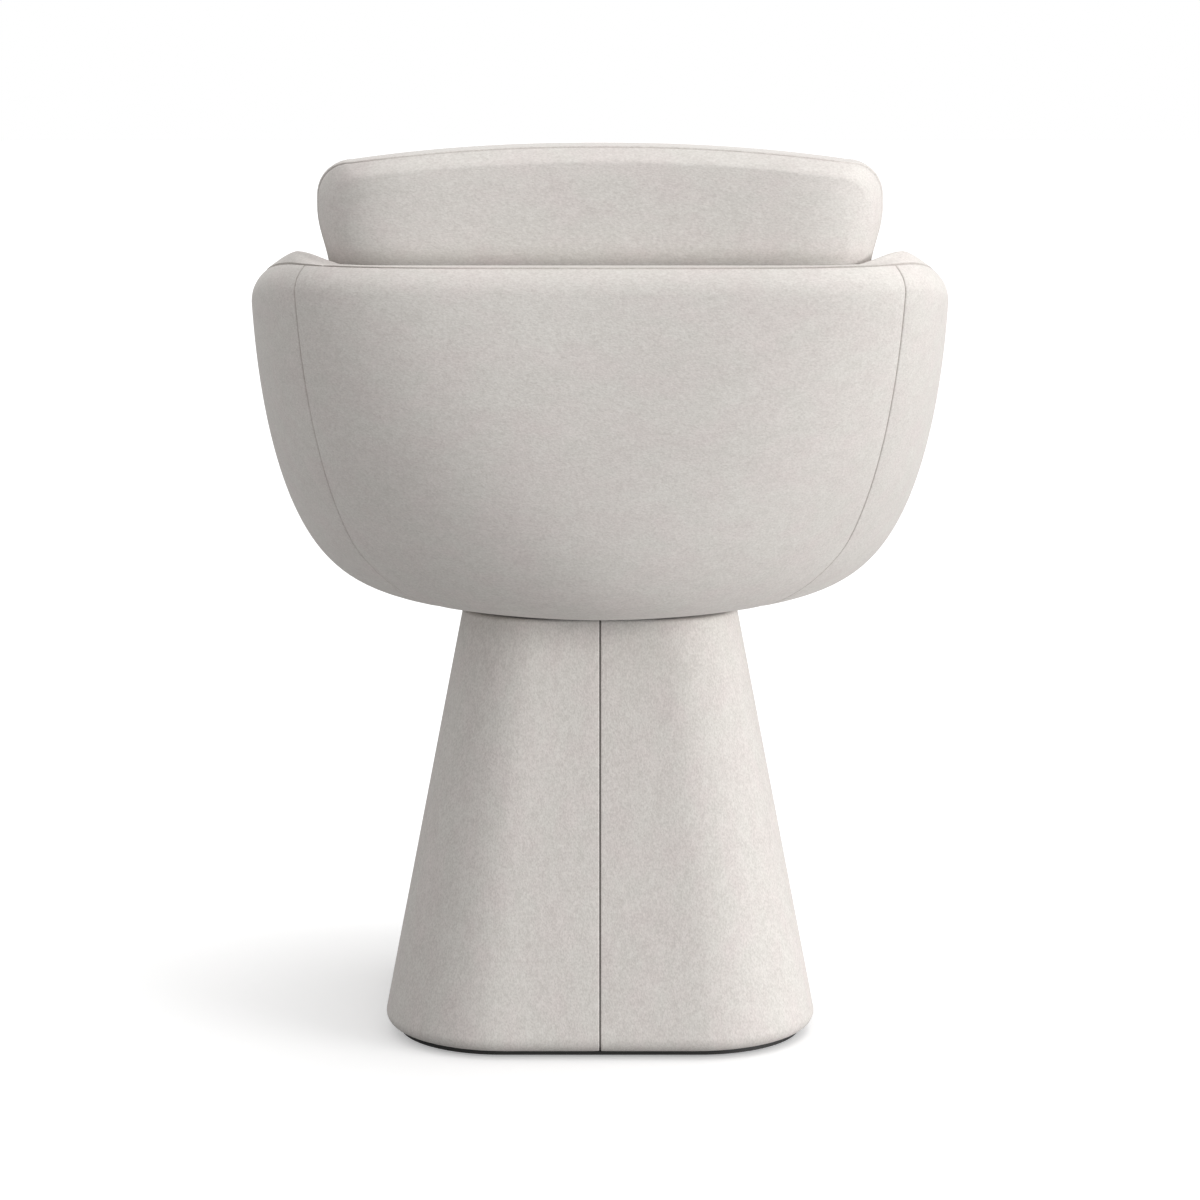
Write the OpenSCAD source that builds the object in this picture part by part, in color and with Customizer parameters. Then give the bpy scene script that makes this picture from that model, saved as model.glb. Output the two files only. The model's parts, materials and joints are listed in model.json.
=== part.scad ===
// Swivel dining chair: an upholstered tub on a ball-bearing swivel and a tapered pedestal.
// +Z is up, +Y is the back of the chair, and the sitter faces -Y. Sizes are in millimetres.

/* [Tub] */
// Half of the tub's width at its widest level
tub_half_w = 305; // [285:1:325]
// Reach of the tub behind the swivel axis
tub_back = 285; // [270:1:305]
// Reach of the tub's plan curve in front of the swivel axis
tub_front = 336; // [325:1:360]
// Height from the tub's underside to its widest level
tub_h = 294; // [280:1:310]
// Squareness of the plan at the widest level
plan_power_top = 4; // [3.4:0.1:4.6]
// Squareness of the rear half of the plan at the underside
plan_power_bottom = 1.8; // [1.8:0.1:2.4]
// Squareness of the front half of the plan at the underside
front_power_bottom = 2.6; // [2.2:0.1:3]
// Radius of the rounded rim
rim_r = 30; // [26:1:34]
// Radius of the rounding on the front lip
lip_r = 20; // [17:1:24]
// Angle up the rim rounding at which the top seam lies
rim_seam_angle = 50; // [46:1:60]
// Fall of the rim from the back corner to the front of the arms
arm_fall = 47; // [40:1:54]
// Height of the front lip's widest line above the tub's underside
lip_h = 47; // [41:1:61]
// Thickness of a padded arm at its top
arm_t = 70; // [66:1:80]
// Thickness of a padded arm at the underside
arm_low_t = 45; // [42:1:60]
// Thickness of the padding at the back
back_pad_t = 33; // [32:1:40]
// Thickness of the front lip
lip_t = 45; // [40:1:55]
// Thickness of the foam-backed outer covers
cover_t = 10; // [8:0.5:12]
// Thickness of the moulded shell
shell_t = 10; // [7:0.5:11]
// Share of the half width at which the side seams start at the rim
seam_share_top = 0.836; // [0.82:0.001:0.85]
// Share of the half width that the side seams lose evenly on the way down
seam_share_loss = 0.05; // [0.03:0.005:0.07]
// Share of the half width that the side seams also lose where they turn in under the tub
seam_foot_loss = 0.055; // [0.03:0.005:0.07]

/* [Cushions] */
// Height of the seat cushion at its crown
seat_cushion_h = 76; // [66:1:90]
// Radius of the seat cushion's top edge
seat_edge_r = 26; // [18:1:30]
// Rise of the seat cushion's crown above its edge
seat_crown = 6; // [2:1:12]
// Height of the back cushion
back_cushion_h = 307; // [290:1:330]
// Thickness of the back cushion
back_cushion_t = 92; // [84:1:100]
// Share of its thickness, from the rear, at which the back cushion is widest
back_wide_share = 0.65; // [0.55:0.01:0.7]
// Amount that the back cushion swells sideways above the arms
back_swell = 8; // [0:1:14]
// Radius of the back cushion's top corners
back_corner_r = 27; // [20:1:40]
// Fall of the back cushion's top edge from its middle to the corners
back_arch = 14; // [6:1:22]
// Radius of the back cushion's rear edge
back_rear_r = 14; // [11:1:20]
// Radius of the back cushion's front edge
back_front_r = 24; // [16:1:26]
// Rise of the back cushion's crown on its front
back_crown = 12; // [4:1:18]

/* [Pedestal] */
// Height of the pedestal
ped_h = 381; // [360:1:400]
// Half of the pedestal's width at its top
ped_top_half = 122.6; // [121:0.2:130]
// Half of the pedestal's width above its foot rounding
ped_foot_half = 193; // [180:0.2:205]
// Corner radius as a share of the half width
ped_corner_share = 0.55; // [0.48:0.01:0.62]
// Radius of the foot rounding
foot_r = 12; // [10:1:14]
// Radius of the top edge's rounding
top_edge_r = 3.5; // [3:0.5:6]
// Thickness of the pedestal's fabric
fabric_t = 1.6; // [1.2:0.1:2.2]
// Thickness of the pedestal's foam
ped_foam_t = 9.8; // [8:0.1:11]
// Thickness of the bent hardboard skin
skin_t = 4; // [3:0.5:5]
// Width of the open seam down the back
back_seam_w = 1.2; // [0.8:0.1:2]
// Width of the fabric turned in under the foot
hem_w = 24; // [12:1:30]
// Thickness of the plywood boards
board_t = 18; // [15:1:20]
// Thickness of the upright ribs
rib_t = 15; // [12:1:18]
// Depth of the swivel's seat below the pedestal's top
well_depth = 26; // [24:0.5:28]

/* [Swivel] */
// Side of the square swivel plates
plate_w = 140; // [136:1:144]
// Corner radius of the swivel plates
plate_corner_r = 12; // [6:1:16]
// Thickness of the swivel plates
plate_t = 3; // [2.5:0.5:3.5]
// Radius of the ball circle
ball_circle_r = 42; // [38:1:43]
// Radius of one ball
ball_r = 4; // [3.6:0.1:4.2]
// Number of balls
ball_count = 20; // [12:1:22]
// Height of each race ring
race_h = 6; // [5.5:0.1:6.5]
// Half width of a race ring
race_half = 8; // [7:0.5:9]
// Open height between the race rings
race_gap = 3; // [2.8:0.1:3.4]
// Thickness of the ball cage
cage_t = 1.8; // [1.2:0.1:2]
// Radius of the centre pin
pin_r = 10; // [8:0.5:12]
// Half spacing of the bolts in the lower plate
lower_bolt_half = 45; // [44:0.5:46]
// Half spacing of the bolts in the upper plate
upper_bolt_half = 53; // [52:0.5:54]
// Radius of a bolt's shank
bolt_r = 4; // [3:0.5:4.5]
// Radius of the round mount board under the tub
mount_r = 100; // [98:1:102]
// Thickness of the mount board's flange
mount_t = 18; // [15:1:20]
// Radius of the round hole in the moulded shell
shell_hole_r = 84; // [83:0.5:86]
// Thickness of the seat board
seat_board_t = 12; // [11:0.5:15]
// Radius of the seat board
seat_board_r = 116; // [104:1:122]

/* [Foot] */
// Radius of a floor glide
glide_r = 12; // [10:0.5:14]
// Thickness of a floor glide
glide_t = 2; // [1.8:0.1:3]
// Half spacing of the floor glides
glide_half = 110; // [100:1:116]
// Inset of the black plinth from the pedestal's widest line
plinth_inset = 12.5; // [10:0.5:18]
// Thickness of the black plinth
plinth_t = 3.9; // [3:0.1:5]
// Side of one ballast block
ballast_w = 96; // [80:1:104]
// Thickness of the ballast blocks
ballast_t = 12; // [8:1:16]
// Radius of a wood screw
screw_r = 2; // [1.5:0.1:2.5]

/* [Hidden] */
$fn = 48;

fabric_colour = [0.80, 0.78, 0.76];
seam_shade_colour = [0.74, 0.72, 0.70];
foam_colour = [0.30, 0.29, 0.28];
wood_colour = [0.78, 0.66, 0.48];
steel_colour = [0.62, 0.63, 0.65];
black_colour = [0.10, 0.10, 0.10];

// Clearances
soft_gap = 0.3;
turning_fit = 0.1;
hole_fit = 0.1;
ball_fit = 0.05;
pocket_fit = 0.2;
seam_column_share = 0.003;

// Powers of the tub's side profile, and how fast its plan turns round towards the underside
profile_r_power = 6.45;
profile_z_power = 2.17;
plan_turn_power = 1.5;
cavity_power_top = 8;
cavity_power_bottom = 1.75;
cavity_front_power_bottom = 3;
cavity_turn_power = 1.8;
front_seam_share = 0.8;

// Plan angles, measured from the back, between which the rim falls
arm_fall_start_angle = 48;
arm_fall_end_angle = 122;
front_fall_start_angle = 105;
front_fall_end_angle = 160;
front_fall = tub_h - arm_fall - lip_h;

// Steps of the meshed soft layers
side_steps = 7;
wall_steps = 9;
pad_foot_step = 2;
pad_steps = wall_steps - pad_foot_step;
round_steps = 4;

// Levels of the foot and the pedestal
plinth_z = glide_t;
hem_z = plinth_z + plinth_t + hole_fit;
base_board_z = hem_z + fabric_t + soft_gap;
base_board_top = base_board_z + board_t;
top_board_top = ped_h - well_depth;
top_board_z = top_board_top - board_t;
foot_centre_r = ped_foot_half - foot_r;
foot_centre_z = hem_z + foot_r;
ped_lean = atan((ped_foot_half - ped_top_half) / (ped_h - foot_centre_z));
foam_d = fabric_t + soft_gap;
skin_d = foam_d + ped_foam_t + soft_gap;
core_d = skin_d + skin_t + soft_gap;

// Levels of the swivel and the tub
lower_plate_top = top_board_top + plate_t;
lower_race_top = lower_plate_top + race_h;
ball_z = lower_race_top + race_gap / 2;
upper_race_z = lower_race_top + race_gap;
upper_plate_z = upper_race_z + race_h;
upper_plate_top = upper_plate_z + plate_t;
shell_d = cover_t + soft_gap;
shell_inner_d = shell_d + shell_t;
pad_d = shell_inner_d + soft_gap;
tub_bottom_z = upper_plate_top + mount_t - shell_d;
tub_wide_z = tub_bottom_z + tub_h;
seat_board_z = tub_bottom_z + shell_inner_d;
seat_board_top = seat_board_z + seat_board_t;
mean_half = (tub_half_w + tub_back) / 2;

// Openings round the mount board
cover_hole_r = mount_r + 2;
shell_flat_r = 1.24 * mount_r;
foot_angle = 80;

// Seat cushion
seat_z = seat_board_top + soft_gap;
seat_top_z = seat_z + seat_cushion_h;
seat_side_z = seat_top_z - seat_crown - seat_edge_r + 2;
seat_under_inset = 24;
seat_under_rise = 4;
seat_low_inset = 4;
seat_low_rise = 8;
seat_waist = 0.8;
cushion_gap = 1.6;

// Back cushion
back_z = seat_top_z + soft_gap;
back_top_z = back_z + back_cushion_h;
back_low_corner_r = 16;
back_corner_gap = 3;
back_gap = 1;
swell_lift = 12;
swell_span = 55;
swell_from = tub_wide_z + swell_lift;
arch_half_w = 0.69 * tub_half_w;

function ease(x) = let (c = max(0, min(1, x))) c * c * (3 - 2 * c);
function mix(a, b, k) = a + (b - a) * k;
function signed_power(x, e) = sign(x) * pow(abs(x), e);

// The tub's side profile. w runs from 0 at the widest level to 90 at the underside.
function depth_share(w) = pow(sin(w), 2 / profile_z_power);
function width_share(w) = pow(cos(w), 2 / profile_r_power);
function profile_lean(w) =
    atan(mean_half / tub_h * profile_z_power / profile_r_power
         * pow(cos(w), 2 / profile_r_power - 2) * pow(sin(w), 2 - 2 / profile_z_power));

// The tub's plan. v runs from 0 at the back through 1, 2 and 3 (back seam, side, front seam)
// to 4 at the front, and is negative on the left.
function outer_power(u, v = 0) =
    mix(abs(v) > 2 ? front_power_bottom : plan_power_bottom, plan_power_top, pow(1 - u, plan_turn_power));
function cavity_power(u, v = 0) =
    mix(abs(v) > 2 ? cavity_front_power_bottom : cavity_power_bottom, cavity_power_top,
        pow(1 - u, cavity_turn_power));
function seam_share(u) = seam_share_top - seam_share_loss * u - seam_foot_loss * ease((u - 0.75) / 0.25);
function seam_angle(u) = asin(pow(seam_share(u), outer_power(u) / 2));
function front_seam_angle(u) = 180 - asin(pow(front_seam_share, outer_power(u, 4) / 2));
function column_angle(v, u) =
    let (m = abs(v))
    sign(v) * (m <= 1 ? m * seam_angle(u)
               : m <= 2 ? mix(seam_angle(u), 90, m - 1)
               : m <= 3 ? mix(90, front_seam_angle(u), m - 2)
               : mix(front_seam_angle(u), 180, m - 3));
function wrapped(v) = v > 4 ? v - 8 : v;
function plan_point(angle, power, half_w, back, front) =
    [half_w * signed_power(sin(angle), 2 / power),
     (cos(angle) > 0 ? back : front) * signed_power(cos(angle), 2 / power)];

// The rim's height falls towards the front
function rim_angle(v) = abs(column_angle(v, 0));
function front_share(v) =
    ease((rim_angle(v) - front_fall_start_angle) / (front_fall_end_angle - front_fall_start_angle));
function rim_drop(v) =
    arm_fall * ease((rim_angle(v) - arm_fall_start_angle) / (arm_fall_end_angle - arm_fall_start_angle))
    + front_fall * front_share(v);
function shoulder(v) = asin(pow(rim_drop(v) / tub_h, profile_z_power / 2));
function rim_round(v) = mix(rim_r, lip_r, front_share(v));

// A point of the tub at depth d under its outer surface, moved up along the profile by lift
function tub_point(v, w, d, lift = 0) =
    let (u = depth_share(w),
         l = profile_lean(w),
         inset = d * cos(l) - lift * sin(l),
         p = plan_point(column_angle(v, u), outer_power(u, v), tub_half_w * width_share(w) - inset,
                        tub_back * width_share(w) - inset, tub_front * width_share(w) - inset))
    [p.x, p.y, tub_wide_z - tub_h * u + d * sin(l) + lift * cos(l)];

// A point of the rim rounding, at angle a above the level direction
function rim_point(v, a, d) =
    let (w = shoulder(v),
         u = depth_share(w),
         l = profile_lean(w),
         r = rim_round(v),
         inset = r * cos(l) - (r - d) * cos(a),
         p = plan_point(column_angle(v, u), outer_power(u, v), tub_half_w * width_share(w) - inset,
                        tub_back * width_share(w) - inset, tub_front * width_share(w) - inset))
    [p.x, p.y, tub_wide_z - tub_h * u + r * sin(l) + (r - d) * sin(a)];

// The hollow that holds the sitter and the cushions
function depth_at(z) = max(0, min(0.98, (tub_wide_z - z) / tub_h));
function width_at(z) = pow(1 - pow(depth_at(z), profile_z_power), 1 / profile_r_power);
function cavity_half_w(z) = tub_half_w * width_at(z) - mix(arm_t, arm_low_t, depth_at(z));
function cavity_back(z) = tub_back * width_at(z) - back_pad_t;
function cavity_front(z) = tub_front * width_at(z) - lip_t;
function cavity_point(v, z, inset = 0) =
    let (u = depth_at(z),
         p = plan_point(column_angle(v, u), cavity_power(u, v), cavity_half_w(z) - inset,
                        cavity_back(z) - inset, cavity_front(z) - inset))
    [p.x, p.y, z];

function ring_point(v, r, z) = let (a = column_angle(v, 0.98)) [r * sin(a), r * cos(a), z];
function columns(from, to) =
    let (n = round((to - from) * side_steps))
    [for (i = [0 : n]) wrapped(mix(from + seam_column_share, to - seam_column_share, i / n))];
function all_columns() = [for (i = [0 : 8 * side_steps - 1]) wrapped(i / side_steps)];

// Two triangles make each quad. The left half's diagonals mirror the right half's, so that
// neighbouring layers keep the same facets.
function on_left(p, q) = p.x + q.x < 0;
function quad_half(a, b, c, d, half, left) =
    left ? (half == 0 ? [a, b, d] : [b, c, d]) : (half == 0 ? [a, b, c] : [a, c, d]);

function grid_index(side, i, j, cols, rows) = (side * cols + i % cols) * rows + j;

// The faces of one end, between the columns that start at points o and n. From row hook on, the
// outer column turns back under a neighbour's edge, and its last row but one fans to the inner column.
function end_faces(o, n, rows, hook) =
    concat([for (j = [0 : hook - 1], half = [0, 1])
               half == 0 ? [o + j, o + j + 1, n + j] : [o + j + 1, n + j + 1, n + j]],
           hook == rows - 1 ? [] :
           concat([for (j = [hook : rows - 3]) [o + j, o + j + 1, n + hook]],
                  [for (j = [hook : rows - 2]) [o + rows - 2, n + j + 1, n + j]],
                  [[o + rows - 2, o + rows - 1, n + rows - 1]]));

// A sheet between two grids of points, each a list of columns of equal length
module sheet_solid(outer, inner, closed = false, hook_row = 0) {
    cols = len(outer);
    rows = len(outer[0]);
    spans = closed ? cols : cols - 1;
    last = cols - 1;
    top = rows - 1;
    hook = hook_row > 0 ? hook_row : top;
    faces = concat(
        [for (i = [0 : spans - 1], j = [0 : rows - 2], side = [0, 1], half = [0, 1])
            let (a = grid_index(side, i, j, cols, rows),
                 b = grid_index(side, i + 1, j, cols, rows),
                 c = grid_index(side, i + 1, j + 1, cols, rows),
                 d = grid_index(side, i, j + 1, cols, rows),
                 face = quad_half(a, b, c, d, half, on_left(outer[i][top], outer[(i + 1) % cols][top])))
            side == 0 ? face : [face[0], face[2], face[1]]],
        [for (i = [0 : spans - 1], half = [0, 1])
            let (a = grid_index(0, i, 0, cols, rows),
                 b = grid_index(0, i + 1, 0, cols, rows),
                 c = grid_index(1, i + 1, 0, cols, rows),
                 d = grid_index(1, i, 0, cols, rows))
            half == 0 ? [b, a, d] : [b, d, c]],
        [for (i = [0 : spans - 1], half = [0, 1])
            let (a = grid_index(0, i, top, cols, rows),
                 b = grid_index(0, i + 1, top, cols, rows),
                 c = grid_index(1, i + 1, top, cols, rows),
                 d = grid_index(1, i, top, cols, rows))
            half == 0 ? [a, b, c] : [a, c, d]],
        closed ? [] : end_faces(0, cols * rows, rows, hook),
        closed ? [] :
        [for (f = end_faces(last * rows, (cols + last) * rows, rows, hook)) [f[1], f[0], f[2]]]);
    polyhedron([for (side = [outer, inner], col = side) each col], faces, 10);
}

// A closed soft form through rings of points, from one pole to the other
module ringed_solid(low, rings, high) {
    n = len(rings[0]);
    top = len(rings) - 1;
    points = concat([low, high], [for (ring = rings) each ring]);
    faces = concat(
        [for (i = [0 : n - 1]) [0, 2 + (i + 1) % n, 2 + i]],
        [for (i = [0 : n - 1]) [1, 2 + top * n + i, 2 + top * n + (i + 1) % n]],
        [for (j = [0 : top - 1], i = [0 : n - 1], half = [0, 1])
            let (a = 2 + j * n + i,
                 b = 2 + j * n + (i + 1) % n,
                 c = b + n,
                 d = a + n)
            quad_half(a, b, c, d, half, on_left(rings[top][i], rings[top][(i + 1) % n]))]);
    polyhedron(points, faces, 10);
}

module at_corners(x, y) {
    for (sx = [-1, 1], sy = [-1, 1])
        translate([sx * x, sy * y, 0])
            children();
}

module at_sides(x) {
    for (turn = [0 : 90 : 270])
        rotate(turn)
            translate([x, 0, 0])
                children();
}

module post(r, z, top) {
    translate([0, 0, z])
        cylinder(r = r, h = top - z);
}

module rounded_square(half, r) {
    square([2 * half, 2 * (half - r)], center = true);
    square([2 * (half - r), 2 * half], center = true);
    for (sx = [-1, 1], sy = [-1, 1])
        translate([sx * (half - r), sy * (half - r)])
            circle(r);
}

module rounded_board(half, r, z, top) {
    translate([0, 0, z])
        linear_extrude(top - z)
            rounded_square(half, r);
}

// A countersunk screw with its head's flat face at head_z, running to tip_z
screw_head_h = 2.2;
module screw(head_z, tip_z, grow = 0) {
    way = sign(tip_z - head_z);
    translate([0, 0, head_z])
        rotate([way > 0 ? 0 : 180, 0, 0])
            union() {
                cylinder(r1 = 2 * screw_r + grow, r2 = screw_r + grow, h = screw_head_h);
                cylinder(r = screw_r + grow, h = abs(tip_z - head_z) + grow);
            }
}

// Foot
module floor_glides() color(black_colour)
    difference() {
        at_corners(glide_half, glide_half)
            post(glide_r, 0, glide_t);
        at_corners(glide_half, glide_half)
            translate([0, 0, -1])
                cylinder(r = screw_r + hole_fit, h = glide_t + 2);
        at_corners(glide_half, glide_half)
            post(2 * screw_r + hole_fit, -1, glide_t / 2);
    }

module glide_screws() color(steel_colour)
    at_corners(glide_half, glide_half) {
        post(2 * screw_r, glide_t / 4, glide_t / 2);
        post(screw_r, glide_t / 4, base_board_z + board_t / 2);
    }

plinth_screw_x = 50;
plinth_screw_y = 135;
module plinth() color(black_colour)
    difference() {
        rounded_board(ped_foot_half - plinth_inset, ped_foot_half * ped_corner_share - plinth_inset,
                      plinth_z, plinth_z + plinth_t);
        at_corners(glide_half, glide_half)
            post(screw_r + hole_fit, 0, base_board_z);
        at_corners(plinth_screw_x, plinth_screw_y)
            screw(plinth_z, base_board_z, hole_fit);
    }

module plinth_screws() color(steel_colour)
    at_corners(plinth_screw_x, plinth_screw_y)
        screw(plinth_z, base_board_z + board_t / 2);

// Distance from the axis of the pedestal's sloping side at height z, at depth d under the fabric
function side_r(z, d = 0) =
    foot_centre_r + (foot_r - d - (z - foot_centre_z) * sin(ped_lean)) / cos(ped_lean);
function corner_r(half_w, d) = max(1, (half_w + d) * ped_corner_share - d);

board_screw_low = 100;
board_screw_high = 82;
base_board_clear = 4;
base_board_half = side_r(base_board_top, skin_d + skin_t) - base_board_clear;
module base_board() color(wood_colour)
    difference() {
        rounded_board(base_board_half, corner_r(base_board_half, 0), base_board_z, base_board_top);
        at_corners(glide_half, glide_half)
            post(screw_r + hole_fit, 0, base_board_z + board_t / 2 + 1);
        at_corners(plinth_screw_x, plinth_screw_y)
            post(screw_r + hole_fit, 0, base_board_z + board_t / 2 + 1);
        at_sides(board_screw_low)
            screw(base_board_z, base_board_top + 1, hole_fit);
        at_corners(ballast_at, ballast_at)
            post(screw_r + hole_fit, base_board_top - board_t / 2, base_board_top + 1);
    }

ballast_clear = 12;
ballast_at = rib_t / 2 + ballast_clear + ballast_w / 2;
module ballast_blocks() color(steel_colour)
    difference() {
        at_corners(ballast_at, ballast_at)
            translate([-ballast_w / 2, -ballast_w / 2, base_board_top])
                cube([ballast_w, ballast_w, ballast_t]);
        at_corners(ballast_at, ballast_at)
            screw(base_board_top + ballast_t, base_board_top - 1, hole_fit);
    }

module ballast_screws() color(steel_colour)
    at_corners(ballast_at, ballast_at)
        screw(base_board_top + ballast_t, base_board_top - board_t / 2 + 1);

// Upright ribs, halved over each other
rib_mid_z = (base_board_top + top_board_z) / 2;
rib_screw_depth = 30;
module rib_blank() {
    low = side_r(base_board_top, core_d);
    high = side_r(top_board_z, core_d);
    rotate([90, 0, 0])
        translate([0, 0, -rib_t / 2])
            linear_extrude(rib_t)
                polygon([[-low, base_board_top], [low, base_board_top],
                         [high, top_board_z], [-high, top_board_z]]);
}
module rib_screw_holes() {
    for (s = [-1, 1]) {
        translate([s * board_screw_low, 0, 0])
            post(screw_r + hole_fit, base_board_top - 1, base_board_top + rib_screw_depth + 1);
        translate([s * board_screw_high, 0, 0])
            post(screw_r + hole_fit, top_board_z - rib_screw_depth - 1, top_board_z + 1);
    }
}
module rib_slot(z, top) {
    half = rib_t / 2 + hole_fit;
    translate([-half, -half, z])
        cube([2 * half, 2 * half, top - z]);
}
module rib_lengthwise() color(wood_colour)
    rotate(90)
        difference() {
            rib_blank();
            rib_screw_holes();
            rib_slot(rib_mid_z, top_board_z + 1);
        }
module rib_crosswise() color(wood_colour)
    difference() {
        rib_blank();
        rib_screw_holes();
        rib_slot(base_board_top - 1, rib_mid_z + hole_fit);
    }

top_board_hole_r = pin_r + 14;
tee_flange_t = 1.5;
tee_nut_r = 5.5;
tee_nut_h = 10;
module top_board() color(wood_colour) {
    half = side_r(top_board_top, core_d);
    difference() {
        rounded_board(half, corner_r(half, core_d), top_board_z, top_board_top);
        post(top_board_hole_r, top_board_z - 1, top_board_top + 1);
        at_corners(lower_bolt_half, lower_bolt_half) {
            post(bolt_r + hole_fit, top_board_z - 1, top_board_top + 1);
            post(tee_nut_r + hole_fit, top_board_z - 1, top_board_z + tee_nut_h);
        }
        at_sides(board_screw_high)
            screw(top_board_top, top_board_z - 1, hole_fit);
    }
}

module board_screws() color(steel_colour) {
    at_sides(board_screw_low)
        screw(base_board_z, base_board_top + rib_screw_depth);
    at_sides(board_screw_high)
        screw(top_board_top, top_board_z - rib_screw_depth);
}

// Pedestal wrap. Its plan is a rounded square that starts and ends at the middle of the back.
corner_steps = 8;
function ped_plan(half, r, gap) =
    concat([[gap / 2, half]],
           [for (corner = [0 : 3], k = [0 : corner_steps])
               let (a = 90 - 90 * corner - 90 * k / corner_steps,
                    cx = (corner == 0 || corner == 1) ? half - r : r - half,
                    cy = (corner == 0 || corner == 3) ? half - r : r - half)
               [cx + r * cos(a), cy + r * sin(a)]],
           gap > 0 ? [[-gap / 2, half]] : []);
function ped_ring(p, d, gap) =
    [for (q = ped_plan(p[0], corner_r(p[0], d), gap)) [q.x, q.y, p[1]]];
function by_column(rings) = [for (i = [0 : len(rings[0]) - 1]) [for (ring = rings) ring[i]]];

// Rows of the fabric at depth d: the hem, the foot rounding, the side and the turned top edge
side_rows = 3;
cover_foot_steps = 6;
turned_top_w = core_d;
top_centre_z = ped_h - top_edge_r;
function cover_rows(d) =
    concat([[foot_centre_r - hem_w, hem_z + d]],
           [for (k = [0 : cover_foot_steps])
               let (a = mix(-90, ped_lean, k / cover_foot_steps))
               [foot_centre_r + (foot_r - d) * cos(a), foot_centre_z + (foot_r - d) * sin(a)]],
           [for (k = [1 : side_rows])
               let (a = mix(foot_centre_z, top_centre_z, k / side_rows))
               [side_r(a, d), a]],
           [for (a = [40, 90])
               [side_r(top_centre_z, 0) - top_edge_r + (top_edge_r - d) * cos(a),
                top_centre_z + (top_edge_r - d) * sin(a)]],
           [[side_r(ped_h, 0) - turned_top_w, ped_h - d]]);
module pedestal_cover() color(fabric_colour)
    sheet_solid(by_column([for (row = cover_rows(0)) ped_ring(row, 0, back_seam_w)]),
                by_column([for (row = cover_rows(fabric_t)) ped_ring(row, fabric_t, back_seam_w)]));

foam_foot_angle = -34;
wrap_top_z = ped_h - fabric_t - soft_gap;
function foam_rows() =
    concat([for (a = [foam_foot_angle, foam_foot_angle / 2, ped_lean])
               [foot_centre_r + (foot_r - foam_d) * cos(a), foot_centre_z + (foot_r - foam_d) * sin(a)]],
           [for (k = [1 : side_rows])
               let (z = mix(foot_centre_z, top_centre_z - soft_gap, k / side_rows)) [side_r(z, foam_d), z]],
           [[side_r(wrap_top_z, foam_d) - top_edge_r / 2, wrap_top_z]]);
module pedestal_foam() color(foam_colour)
    sheet_solid(by_column([for (row = foam_rows()) ped_ring(row, foam_d, 0)]),
                by_column([for (row = foam_rows())
                               ped_ring([side_r(row[1], foam_d + ped_foam_t), row[1]],
                                        foam_d + ped_foam_t, 0)]), true);

skin_lift = 6;
skin_z = base_board_z + skin_lift;
module pedestal_skin() color(wood_colour)
    sheet_solid(by_column([for (z = [skin_z, wrap_top_z]) ped_ring([side_r(z, skin_d), z], skin_d, 0)]),
                by_column([for (z = [skin_z, wrap_top_z])
                               ped_ring([side_r(z, skin_d + skin_t), z], skin_d + skin_t, 0)]), true);

// Swivel
module swivel_plate(z, bolt_half) {
    difference() {
        rounded_board(plate_w / 2, plate_corner_r, z, z + plate_t);
        post(pin_r + turning_fit, z - 1, z + plate_t + 1);
        at_corners(bolt_half, bolt_half)
            post(bolt_r + hole_fit, z - 1, z + plate_t + 1);
    }
}
module race_ring(z) {
    rotate_extrude()
        difference() {
            translate([ball_circle_r - race_half, z])
                square([2 * race_half, race_h]);
            translate([ball_circle_r, ball_z])
                circle(ball_r + ball_fit);
        }
}
module swivel_lower_plate() color(steel_colour)
    swivel_plate(top_board_top, lower_bolt_half);
module lower_race() color(steel_colour)
    race_ring(lower_plate_top);
module upper_race() color(steel_colour)
    race_ring(upper_race_z);
module swivel_upper_plate() color(steel_colour)
    swivel_plate(upper_plate_z, upper_bolt_half);

pin_flange_r = pin_r + 5;
pin_flange_h = 3;
pin_head_r = pin_r + 4;
pin_head_h = 2.8;
washer_t = 2;
module centre_pin() color(steel_colour) {
    post(pin_flange_r, top_board_top - pin_flange_h, top_board_top);
    post(pin_r, top_board_top - pin_flange_h, pin_head_z + pin_head_h);
    post(pin_head_r, pin_head_z, pin_head_z + pin_head_h);
}
pin_head_z = upper_plate_top + washer_t + 2 * turning_fit;
module pin_washer() color(steel_colour)
    difference() {
        post(pin_r + 6, upper_plate_top + turning_fit, upper_plate_top + turning_fit + washer_t);
        post(pin_r + turning_fit, upper_plate_top, pin_head_z);
    }

lower_head_h = 3.6;
bolt_head_r = 1.7 * bolt_r;
module socket_bolt(z, top, head_h) {
    post(bolt_r, z, top);
    difference() {
        post(bolt_head_r, top - head_h, top);
        translate([0, 0, top - head_h / 2])
            cylinder(r = bolt_r * 0.8, h = head_h, $fn = 6);
    }
}
module lower_plate_bolts() color(steel_colour)
    at_corners(lower_bolt_half, lower_bolt_half)
        difference() {
            union() {
                post(bolt_r, top_board_z - 3, lower_plate_top);
                post(bolt_head_r, lower_plate_top, lower_plate_top + lower_head_h);
            }
            translate([0, 0, lower_plate_top + lower_head_h / 2])
                cylinder(r = bolt_r * 0.8, h = lower_head_h, $fn = 6);
        }
module lower_tee_nuts() color(steel_colour)
    at_corners(lower_bolt_half, lower_bolt_half)
        difference() {
            union() {
                post(2 * bolt_r + 2, top_board_z - tee_flange_t, top_board_z);
                post(tee_nut_r, top_board_z - tee_flange_t, top_board_z + tee_nut_h - 1);
            }
            post(bolt_r + hole_fit, top_board_z - tee_flange_t - 1, top_board_z + tee_nut_h);
        }

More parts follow.
